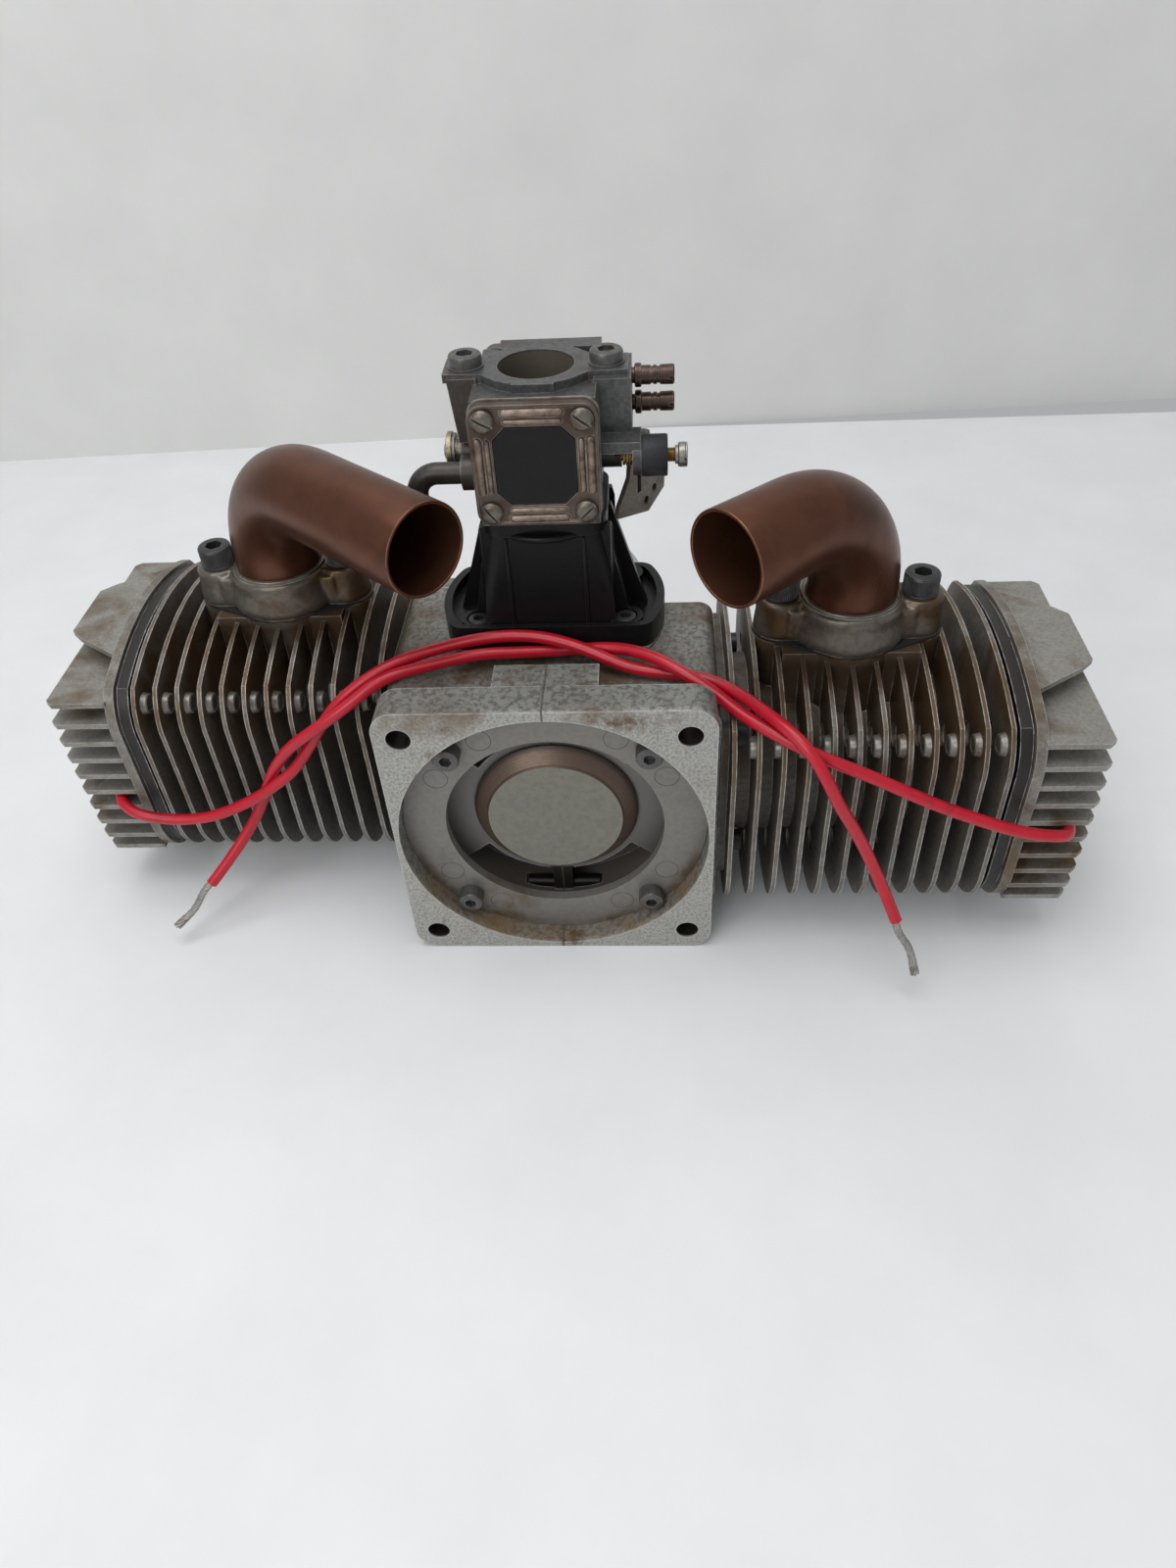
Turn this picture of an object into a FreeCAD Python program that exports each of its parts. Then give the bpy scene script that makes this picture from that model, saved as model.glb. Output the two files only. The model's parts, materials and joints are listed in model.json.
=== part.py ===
import FreeCAD, Part
import Sketcher
import math
import os
import re

# Flat twin two-stroke aircraft engine, in millimetres.
# Frame: origin at the middle of the front mounting face on the crankshaft axis,
# +X to the right-hand cylinder, +Y towards the propeller hub, +Z up.

SIZES = {
    # front mounting flange and its recess
    "flangeHalf": 60.5,
    "flangeTop": 62.5,
    "flangeBottom": 61.0,
    "flangeDepth": 15.0,
    "flangeCorner": 9.0,
    "mountHalf": 51.0,
    "mountHole": 4.5,
    "recessRadius": 58.6,
    "shelfDepth": 13.0,
    "floorRadius": 48.0,
    "floorDepth": 20.0,
    "windowInner": 35.0,
    "windowDepth": 33.0,
    # ring plate in the recess
    "ringThick": 4.0,
    "ringInner": 42.0,
    "ringGap": 0.3,
    "ringScrewX": 36.6,
    "ringScrewZ": 38.0,
    # crankcase
    "deckHalf": 62.5,
    "caseHalfHeight": 50.0,
    "caseRear": 129.0,
    "blockRearRight": 86.0,
    "blockRearLeft": 101.0,
    "cheekRearRight": 99.0,
    "cheekRearLeft": 128.0,
    "cheekHalf": 38.0,
    "drumRadius": 48.0,
    "chamberFront": 36.5,
    "chamberRear": 112.5,
    "chamberHalfX": 58.0,
    "chamberHalfZ": 45.0,
    "chamberCorner": 20.0,
    "bossHalf": 19.0,
    "bossRear": 29.0,
    "rodRoomX": 38.5,
    "rodRoomZ": 39.5,
    "padHeight": 2.0,
    # crankshaft and its bearings
    "shaftRadius": 12.5,
    "bearingRadius": 26.0,
    "bearingWidth": 15.0,
    "runningGap": 0.05,
    "seatGap": 0.05,
    "webRadius": 43.0,
    "webGap": 0.3,
    "crankThrow": 25.0,
    "pinRadius": 10.0,
    "hubFace": 26.0,
    "hubDrum": 32.0,
    "hubFront": 13.0,
    "hubConeEnd": 18.7,
    "hubRear": 19.4,
    # cylinders: the two axes are staggered along the shaft
    "rightAxis": 58.8,
    "leftAxis": 90.2,
    "boreRadius": 32.0,
    "barrelRadius": 36.2,
    "gasketThick": 0.5,
    "finHalfY": 56.0,
    "finHalfZ": 54.0,
    "firstFin": 66.0,
    "finPitch": 8.8,
    "finCount": 12,
    "finThick": 1.7,
    "topFlangeStart": 166.4,
    "cylinderTop": 171.0,
    "baseScrewY": 30.5,
    "baseScrewZ": 27.5,
    "accessRadius": 4.6,
    # heads
    "headPlate": 3.8,
    "headFinEnd": 199.0,
    "headFinPitch": 8.51,
    "headFinTop": 39.3,
    "headFinThick": 2.2,
    "headCore": 24.0,
    "plugPocket": 13.0,
    "headBoltY": 31.0,
    "headBoltZ": 29.8,
    "headBoltPocket": 5.6,
    # pistons and rods
    "pistonGap": 0.07,
    "rodLength": 112.0,
    "rodWidth": 14.0,
    "crownHeight": 31.0,
    "skirtLength": 24.0,
    "wristPin": 8.0,
    "wristPinLength": 56.0,
    "bigEnd": 14.0,
    "smallEnd": 12.0,
    # exhaust
    "portX": 111.0,
    "portDeck": 55.0,
    "portRadius": 13.0,
    "exhaustGasket": 1.0,
    "exhaustFlangeTop": 70.5,
    "exhaustLipTop": 71.5,
    "exhaustLip": 18.6,
    "exhaustScrewX": 25.2,
    "exhaustEar": 10.0,
    "pipeRadius": 16.75,
    "pipeWall": 1.2,
    "pipeSeat": 61.0,
    "pipeBend": 35.0,
    "pipeLevel": 110.0,
    "pipeHeading": 40.3,
    "pipeReachLeft": 98.0,
    "pipeReachRight": 65.0,
    # intake
    "intakeY": 75.0,
    "intakeBase": 43.0,
    "intakeFlat": 22.5,
    "intakeFloor": 58.0,
    "intakeRim": 62.0,
    "intakeTop": 104.5,
    "intakeScrewX": 28.0,
    "intakeScrewY": 15.5,
    "reedHalfX": 16.8,
    "reedHalfY": 12.8,
    "reedSeat": 48.5,
    # carburettor
    "carbTop": 152.0,
    "carbHalfX": 20.5,
    "carbFront": 52.5,
    "carbRear": 97.5,
    "carbBoltX": 23.7,
    "earEnd": 31.0,
    "earThick": 3.0,
    "coverThick": 4.5,
    "coverHalf": 21.3,
    "coverMiddle": 128.0,
    "coverScrew": 16.2,
    "panelHalf": 13.5,
    "throttleLevel": 122.0,
    "throttleShaft": 4.0,
    "inletRadius": 13.0,
    "inletDepth": 18.0,
    "throttleBore": 12.5,
    "throttlePlate": 12.35,
    "needleY": 77.0,
    "needleHigh": 146.2,
    "needleLow": 137.0,
    "needleRadius": 3.0,
    "sideBlockEnd": 32.0,
    "idleY": 62.0,
    "idleLevel": 124.5,
    "sleeveRadius": 7.0,
    "sleeveLength": 8.9,
    # rear cover and propeller hub
    "coverRadius": 37.0,
    "coverDepth": 6.0,
    "coverPitchRadius": 31.5,
    "hubStart": 136.0,
    "hubDiscStart": 163.0,
    "hubEnd": 175.0,
    "hubDisc": 36.0,
    "hubNeck": 19.0,
    "hubPitchDiameter": 54.0,
    "hubHole": 4.2,
    # leads
    "leadRadius": 2.3,
    "leadEndRadius": 1.7,
    "leadEndLength": 27.0,
}

doc = FreeCAD.newDocument("FlatTwin")
sheet = doc.addObject("Spreadsheet::Sheet", "Sizes")
for row, (alias, number) in enumerate(SIZES.items(), start=1):
    sheet.set(f"A{row}", alias)
    sheet.set(f"B{row}", str(number))
    sheet.setAlias(f"B{row}", alias)
doc.recompute()

WORDS = re.compile(r"[A-Za-z]\w*")
UP = FreeCAD.Vector(0, 0, 1)
ALONG_X = FreeCAD.Rotation(FreeCAD.Vector(0, 1, 0), 90)
ALONG_Y = FreeCAD.Rotation(FreeCAD.Vector(1, 0, 0), -90)
ALONG_Z = FreeCAD.Rotation()
BACKWARD = FreeCAD.Rotation(FreeCAD.Vector(1, 0, 0), 90)
PLANES = {"XY": "XY_Plane", "XZ": "XZ_Plane", "YZ": "YZ_Plane"}
nodes = {}


def size(alias):
    """The sheet's number for one named size."""
    return float(sheet.get(alias))


def formula(text):
    """A sheet expression, with each named size pointed at its cell."""
    return WORDS.sub(lambda m: "Sizes." + m.group(0) if m.group(0) in SIZES else m.group(0), str(text))


def amount(text):
    """What a formula comes to, for a first guess at a sketch point."""
    return float(sheet.evalExpression(formula(text)))


def bind(item, field, text):
    item.setExpression(field, formula(text))


def place(item, spot, turn=ALONG_Z):
    item.Placement = FreeCAD.Placement(FreeCAD.Vector(), turn)
    for axis, text in zip("xyz", spot):
        bind(item, f"Placement.Base.{axis}", text)


def cylinder(name, radius, height, spot, turn=ALONG_Z):
    item = doc.addObject("Part::Cylinder", name)
    bind(item, "Radius", radius)
    bind(item, "Height", height)
    place(item, spot, turn)
    return item


def cone(name, radius, endRadius, height, spot, turn=ALONG_Z):
    item = doc.addObject("Part::Cone", name)
    bind(item, "Radius1", radius)
    bind(item, "Radius2", endRadius)
    bind(item, "Height", height)
    place(item, spot, turn)
    return item


def box(name, low, high):
    """A block between two corners."""
    item = doc.addObject("Part::Box", name)
    for field, start, end in zip(("Length", "Width", "Height"), low, high):
        bind(item, field, f"({end}) - ({start})")
    place(item, low)
    return item


def fuse(name, pieces):
    item = doc.addObject("Part::MultiFuse", name)
    item.Shapes = pieces
    return item


def cut(name, base, tools):
    item = doc.addObject("Part::Cut", name)
    item.Base = base
    item.Tool = tools[0] if len(tools) == 1 else fuse(name + "Tools", tools)
    return item


def common(name, first, second):
    item = doc.addObject("Part::MultiCommon", name)
    item.Shapes = [first, second]
    return item


def solid(name, shape):
    """A shape made by Part's own functions from the sheet's sizes."""
    item = doc.addObject("Part::Feature", name)
    item.Shape = shape
    return item


def node(name, item):
    """The finished piece, whose label names its file."""
    item.Label = name
    nodes[name] = item
    return item


def group(name, pieces):
    """Identical pieces that share one node as separate solids."""
    item = doc.addObject("Part::Compound", name)
    item.Links = pieces
    return node(name, item)


def sketch(body, name, plane, shift, loops):
    """A sketch whose corners and circles are all tied to sheet formulas."""
    item = body.newObject("Sketcher::SketchObject", name)
    origin = [o for o in body.Origin.OriginFeatures if o.Role == PLANES[plane]][0]
    item.AttachmentSupport = [(origin, "")]
    item.MapMode = "FlatFace"
    bind(item, "AttachmentOffset.Base.z", shift)
    for loop in loops:
        if loop[0] == "circle":
            across, along, radius = loop[1:]
            middle = FreeCAD.Vector(amount(across), amount(along), 0)
            index = item.addGeometry(Part.Circle(middle, UP, amount(radius)))
            tie(item, ("Radius", index), radius)
            tie(item, ("DistanceX", -1, 1, index, 3), across)
            tie(item, ("DistanceY", -1, 1, index, 3), along)
            continue
        corners = [FreeCAD.Vector(amount(u), amount(v), 0) for u, v in loop]
        first = item.GeometryCount
        for i, corner in enumerate(corners):
            item.addGeometry(Part.LineSegment(corner, corners[(i + 1) % len(corners)]))
        for i in range(len(corners)):
            following = first + (i + 1) % len(corners)
            item.addConstraint(Sketcher.Constraint("Coincident", first + i, 2, following, 1))
            tie(item, ("DistanceX", -1, 1, first + i, 1), loop[i][0])
            tie(item, ("DistanceY", -1, 1, first + i, 1), loop[i][1])
    return item


def tie(item, kind, text):
    """One dimension of a sketch, held by a sheet formula."""
    index = item.addConstraint(Sketcher.Constraint(*kind, amount(text)))
    bind(item, f"Constraints[{index}]", text)


def pad(name, plane, shift, length, loops, reverse=False):
    """A body made by padding one sketch."""
    body = doc.addObject("PartDesign::Body", name)
    profile = sketch(body, name + "Outline", plane, shift, loops)
    feature = body.newObject("PartDesign::Pad", name + "Pad")
    feature.Profile = profile
    bind(feature, "Length", length)
    feature.Reversed = reverse
    body.Tip = feature
    return body


def turned(name, plane, axis, loop):
    """A body made by turning one sketch about an axis of its own plane."""
    body = doc.addObject("PartDesign::Body", name)
    profile = sketch(body, name + "Outline", plane, "0", [loop])
    feature = body.newObject("PartDesign::Revolution", name + "Turn")
    feature.Profile = profile
    feature.ReferenceAxis = (profile, [axis])
    feature.Angle = 360
    body.Tip = feature
    return body


def rounded(body, radius, chosen):
    """The body's chosen edges, rounded."""
    doc.recompute()
    base = body.Tip
    names = [f"Edge{i + 1}" for i, edge in enumerate(base.Shape.Edges) if chosen(edge)]
    feature = body.newObject("PartDesign::Fillet", body.Name + "Round")
    feature.Base = (base, names)
    bind(feature, "Radius", radius)
    body.Tip = feature
    return body


def along(edge, direction):
    """Whether an edge is straight and lies along a direction."""
    if not isinstance(edge.Curve, Part.Line):
        return False
    return abs(abs(edge.Curve.Direction.dot(direction)) - 1) < 1e-6


X = FreeCAD.Vector(1, 0, 0)
Y = FreeCAD.Vector(0, 1, 0)
SIDES = {"right": 1, "left": -1}
AXES = {"right": "rightAxis", "left": "leftAxis"}


# ---------------------------------------------------------------- crankcase

def caseHalf(name, side):
    """One half of the crankcase, split on the plane through the shaft."""
    reach = f"{side} * flangeHalf"
    flange = pad(name + "Flange", "XZ", "0", "flangeDepth", [[
        ("0", "-flangeBottom"), (reach, "-flangeBottom"), (reach, "flangeTop"), ("0", "flangeTop"),
    ]], reverse=True)
    outer = side * size("flangeHalf")
    rounded(flange, "flangeCorner", lambda e: along(e, Y) and abs(e.Vertexes[0].X - outer) < 0.01)
    hand = "Right" if side > 0 else "Left"
    reach = f"{side} * deckHalf"
    block = pad(name + "Block", "XZ", "-flangeDepth", f"blockRear{hand} - flangeDepth", [[
        ("0", "-caseHalfHeight"), (reach, "-caseHalfHeight"), (reach, "caseHalfHeight"), ("0", "caseHalfHeight"),
    ]], reverse=True)
    rounded(block, "6", lambda e: along(e, Y) and abs(e.Vertexes[0].X) > 1)
    cheek = pad(name + "Cheek", "XZ", "-flangeDepth", f"cheekRear{hand} - flangeDepth", [[
        ("0", "-cheekHalf"), (reach, "-cheekHalf"), (reach, "cheekHalf"), ("0", "cheekHalf"),
    ]], reverse=True)
    rounded(cheek, "9", lambda e: along(e, Y) and abs(e.Vertexes[0].X) > 1)
    drum = common(name + "Drum", cylinder(
        name + "DrumRound", "drumRadius", "caseRear - flangeDepth", ("0", "flangeDepth", "0"), ALONG_Y), box(
        name + "DrumTrim", *halfSpace(side)))
    boss = box(name + "Boss", sided(side, "0", "bossHalf", "flangeDepth", "caseHalfHeight - 1")[0],
               sided(side, "0", "bossHalf", "bossRear", "flangeTop - 1")[1])
    intakePad = common(name + "Pad", cylinder(
        name + "PadDisc", "intakeBase", "padHeight + 1", ("0", "intakeY", "caseHalfHeight - 1")), box(
        name + "PadTrim", sided(side, "0", "deckHalf", "intakeY - intakeFlat", "caseHalfHeight - 2")[0],
        sided(side, "0", "deckHalf", "intakeY + intakeFlat", "caseHalfHeight + 9")[1]))
    hollow = pad(name + "Chamber", "XZ", "-chamberFront", f"blockRear{hand} - 3.5 - chamberFront", [[
        ("0", "-chamberHalfZ"), (f"{side} * chamberHalfX", "-chamberHalfZ"),
        (f"{side} * chamberHalfX", "chamberHalfZ"), ("0", "chamberHalfZ"),
    ]], reverse=True)
    inner = side * size("chamberHalfX")
    rounded(hollow, "chamberCorner", lambda e: along(e, Y) and abs(e.Vertexes[0].X - inner) < 0.01)
    axis = AXES["right" if side > 0 else "left"]
    tools = [
        hollow,
        cylinder(name + "WebRoom", "chamberHalfZ - 1", "chamberRear - chamberFront", ("0", "chamberFront", "0"), ALONG_Y),
        cylinder(name + "Recess", "recessRadius", "shelfDepth + 1", ("0", "-1", "0"), ALONG_Y),
        cylinder(name + "Floor", "floorRadius", "floorDepth", ("0", "0", "0"), ALONG_Y),
        cylinder(name + "FrontSeat", "bearingRadius + seatGap", "chamberFront", ("0", "floorDepth + 1.4", "0"), ALONG_Y),
        cylinder(name + "FrontEye", "shaftRadius + 4", "chamberFront", ("0", "1", "0"), ALONG_Y),
        cylinder(name + "RearSeat", "bearingRadius + seatGap", "caseRear", ("0", "chamberRear - 1", "0"), ALONG_Y),
        cylinder(name + "Spigot", "boreRadius + 0.5", "30",
                 (f"{side} * (deckHalf - 15) - {0 if side > 0 else 30}", axis, "0"), ALONG_X),
        box(name + "Throat", sided(side, "0", "reedHalfX + 0.2", "intakeY - reedHalfY - 0.2", "reedSeat")[0],
            sided(side, "0", "reedHalfX + 0.2", "intakeY + reedHalfY + 0.2", "caseHalfHeight + padHeight + 1")[1]),
        box(name + "Port", sided(side, "0", "reedHalfX - 2.5", "intakeY - reedHalfY + 2", "chamberHalfZ - 2")[0],
            sided(side, "0", "reedHalfX - 2.5", "intakeY + reedHalfY - 2", "reedSeat + 1")[1]),
    ]
    bulges = []
    if side > 0:
        behind = "leftAxis + rodWidth / 2"
        bulges.append(box(name + "RodBulge", ("0", "blockRearRight - 6", "-rodRoomZ - 3"),
                          ("rodRoomX + 3", f"{behind} + 3.5", "rodRoomZ + 3")))
        tools.append(box(name + "RodRoom", ("-1", "leftAxis - rodWidth", "-rodRoomZ"),
                         ("rodRoomX", f"{behind} + 0.5", "rodRoomZ")))
    tools += windows(name, side)
    for level in ("mountHalf", "-mountHalf"):
        tools.append(cylinder(name + "Mount", "mountHole", "flangeDepth + 2",
                              (f"{side} * mountHalf", "-1", level), ALONG_Y))
    for level in ("ringScrewZ", "-ringScrewZ"):
        tools.append(cylinder(name + "RingHole", "3", "16", (f"{side} * ringScrewX", "9", level), ALONG_Y))
    for across in ("intakeScrewY", "-intakeScrewY"):
        tools.append(cylinder(name + "IntakeHole", "2.5", "12", (
            f"{side} * intakeScrewX", f"intakeY + {across}", "caseHalfHeight + padHeight - 9"), ALONG_Z))
    for across in ("baseScrewY", "-baseScrewY"):
        for level in ("baseScrewZ", "-baseScrewZ"):
            tools.append(cylinder(name + "BaseHole", "2.5", "14", (
                f"{side} * deckHalf - {13 if side > 0 else 1}", f"{axis} + {across}", level), ALONG_X))
    for y, z in CASE_BOLTS:
        tools.append(cylinder(name + "Bolt", "3.1", "16", (f"{0 if side > 0 else -16}", y, z), ALONG_X))
    for angle in (45, 135, 225, 315):
        spot = onCircle("coverPitchRadius", angle, "caseRear - 12")
        tools.append(cylinder(name + "CoverHole", "2.5", "14", spot, ALONG_Y))
    return node(name, cut(name, fuse(name + "Body", [flange, block, cheek, drum, boss, intakePad] + bulges), tools))


CASE_BOLTS = [("24", "54"), ("24", "-47"), ("118", "34"), ("118", "-33")]


def sided(side, near, far, depth, level):
    """Two corners of a block that reaches from near to far on one side of the split."""
    low, high = (near, far) if side > 0 else (f"-({far})", f"-({near})")
    return (low, depth, level), (high, depth, level)


def halfSpace(side):
    """The corners of a block that holds one side of the split."""
    return ("0" if side > 0 else "-80", "0", "-80"), ("80" if side > 0 else "0", "200", "80")


def onCircle(radius, angle, depth):
    """A spot on a circle round the shaft axis."""
    return (f"{radius} * {math.cos(math.radians(angle)):.6f}", depth,
            f"{radius} * {math.sin(math.radians(angle)):.6f}")


def windows(name, side):
    """Cooling windows in the recess floor, as arcs above and below the hub."""
    pieces = []
    for tag, level in (("Upper", 1), ("Lower", -1)):
        outer = cylinder(name + tag + "Outer", "floorRadius", "windowDepth - floorDepth + 1",
                         ("0", "floorDepth - 1", "0"), ALONG_Y)
        inner = cylinder(name + tag + "Inner", "windowInner", "windowDepth", ("0", "floorDepth - 2", "0"), ALONG_Y)
        wedge = pad(name + tag + "Wedge", "XZ", "0", "windowDepth + 2", [[
            (f"{side} * 4", f"{level} * 2"), (f"{side} * 50", f"{level} * 36"),
            (f"{side} * 50", f"{level} * 60"), (f"{side} * 4", f"{level} * 60"),
        ]], reverse=True)
        pieces.append(common(name + tag + "Window", cut(name + tag + "Arc", outer, [inner]), wedge))
    return pieces


caseHalf("crankcase_right", 1)
caseHalf("crankcase_left", -1)


def capScrew(name, thread, length, head, headHeight, spot, turn, socket=True):
    """A socket-head screw: the shank runs along the turned +Z, the head sits behind the spot."""
    shank = cylinder(name + "Shank", thread, length, spot, turn)
    back = turn.multVec(UP) * -1
    behind = tuple(f"({text}) + ({headHeight}) * {step:.0f}" for text, step in zip(spot, back))
    crown = cylinder(name + "Head", head, headHeight, behind, turn)
    whole = fuse(name + "Blank", [crown, shank])
    if not socket:
        return whole
    key = cylinder(name + "Key", f"({head}) * 0.5", f"({headHeight}) * 0.5", behind, turn)
    return cut(name, whole, [key])


screws = []
for x, z in ((1, 1), (-1, 1), (-1, -1), (1, -1)):
    screws.append(capScrew("RingScrew", "2.4", "13", "5", "6",
                           (f"{x} * ringScrewX", "shelfDepth - ringThick", f"{z} * ringScrewZ"), ALONG_Y))
group("ring_screws", screws)

plate = cylinder("RingPlateDisc", "recessRadius - ringGap", "ringThick",
                 ("0", "shelfDepth - ringThick", "0"), ALONG_Y)
tools = [cylinder("RingPlateEye", "ringInner", "ringThick + 2", ("0", "shelfDepth - ringThick - 1", "0"), ALONG_Y)]
for x, z in ((1, 1), (-1, 1), (-1, -1), (1, -1)):
    tools.append(cylinder("RingPlateHole", "2.6", "ringThick + 2",
                          (f"{x} * ringScrewX", "shelfDepth - ringThick - 1", f"{z} * ringScrewZ"), ALONG_Y))
node("front_ring_plate", cut("front_ring_plate", plate, tools))

bolts = []
for y, z in CASE_BOLTS:
    bolts.append(cylinder("CaseBolt", "3", "30", ("-15", y, z), ALONG_X))
group("crankcase_bolts", bolts)


def bearing(name, start):
    """A main bearing, held in the case and running on the shaft."""
    ring = cylinder(name + "Ring", "bearingRadius", "bearingWidth", ("0", start, "0"), ALONG_Y)
    eye = cylinder(name + "Eye", "shaftRadius + runningGap", "bearingWidth + 2", ("0", f"{start} - 1", "0"), ALONG_Y)
    grooves = []
    for tag, shift in (("Front", "-1"), ("Rear", "bearingWidth - 1")):
        outer = cylinder(name + tag + "Outer", "bearingRadius - 3.5", "2", ("0", f"{start} + {shift}", "0"), ALONG_Y)
        inner = cylinder(name + tag + "Inner", "shaftRadius + 3.5", "2", ("0", f"{start} + {shift}", "0"), ALONG_Y)
        grooves.append(cut(name + tag + "Groove", outer, [inner]))
    return node(name, cut(name, ring, [eye] + grooves))


bearing("front_bearing", "chamberFront - bearingWidth")
bearing("rear_bearing", "chamberRear + 0.5")

cover = cylinder("CoverDisc", "coverRadius", "coverDepth", ("0", "caseRear", "0"), ALONG_Y)
tools = [cylinder("CoverEye", "shaftRadius + 0.4", "coverDepth + 2", ("0", "caseRear - 1", "0"), ALONG_Y),
         cylinder("CoverLip", "shaftRadius + 5", "2", ("0", "caseRear + coverDepth - 1.5", "0"), ALONG_Y)]
screws = []
for angle in (45, 135, 225, 315):
    x, y, z = onCircle("coverPitchRadius", angle, "caseRear")
    tools.append(cylinder("CoverScrewHole", "2.6", "coverDepth + 2", (x, "caseRear - 1", z), ALONG_Y))
    screws.append(capScrew("CoverScrew", "2.45", "coverDepth + 9", "4.25", "5",
                           (x, "caseRear + coverDepth", z), BACKWARD))
node("rear_cover", cut("rear_cover", cover, tools))
group("rear_cover_screws", screws)


# ---------------------------------------------------------------- crankshaft

def web(name, start, end):
    """A full-circle crank web with its rims eased."""
    return turned(name, "XY", "V_Axis", [
        ("0", start), ("webRadius - 2", start), ("webRadius", f"{start} + 2"),
        ("webRadius", f"{end} - 2"), ("webRadius - 2", end), ("0", end),
    ])


rodHalf = "rodWidth / 2"
front = fuse("crankshaft_front", [
    web("FrontWeb", "chamberFront + 0.5", f"rightAxis - {rodHalf} - 2 * webGap"),
    cylinder("FrontShaft", "shaftRadius", "chamberFront - 14", ("0", "15", "0"), ALONG_Y)])
node("crankshaft_front", front)
node("crankshaft_centre_web", web(
    "crankshaft_centre_web", f"rightAxis + {rodHalf} + 2 * webGap", f"leftAxis - {rodHalf} - 2 * webGap"))
rear = fuse("crankshaft_rear", [
    web("RearWeb", f"leftAxis + {rodHalf} + 2 * webGap", "chamberRear - 0.5"),
    cylinder("RearShaft", "shaftRadius", "hubEnd - 8 - chamberRear", ("0", "chamberRear - 1", "0"), ALONG_Y)])
node("crankshaft_rear", rear)

node("rotor_hub", turned("rotor_hub", "XY", "V_Axis", [
    ("0", "hubFront"), ("hubFace", "hubFront"), ("hubFace + 0.8", "hubFront + 1"),
    ("hubDrum - 0.6", "hubConeEnd - 0.6"), ("hubDrum", "hubConeEnd"),
    ("hubDrum", "hubRear"), ("shaftRadius", "hubRear"), ("shaftRadius", "15"), ("0", "15"),
]))

hub = turned("HubBody", "XY", "V_Axis", [
    ("shaftRadius", "hubStart"), ("hubNeck", "hubStart"), ("hubNeck", "hubDiscStart - 4"),
    ("hubNeck + 4", "hubDiscStart"), ("hubDisc", "hubDiscStart"), ("hubDisc", "hubEnd - 1"),
    ("hubDisc - 1", "hubEnd"), ("9", "hubEnd"), ("9", "hubEnd - 9"), ("shaftRadius", "hubEnd - 9"),
])
tools = []
for step in range(6):
    spot = onCircle("hubPitchDiameter / 2", 60 * step, "hubDiscStart - 1")
    tools.append(cylinder("HubHole", "hubHole", "hubEnd - hubDiscStart + 2", spot, ALONG_Y))
node("propeller_hub", cut("propeller_hub", hub, tools))


# ---------------------------------------------------------------- pistons and rods

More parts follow.
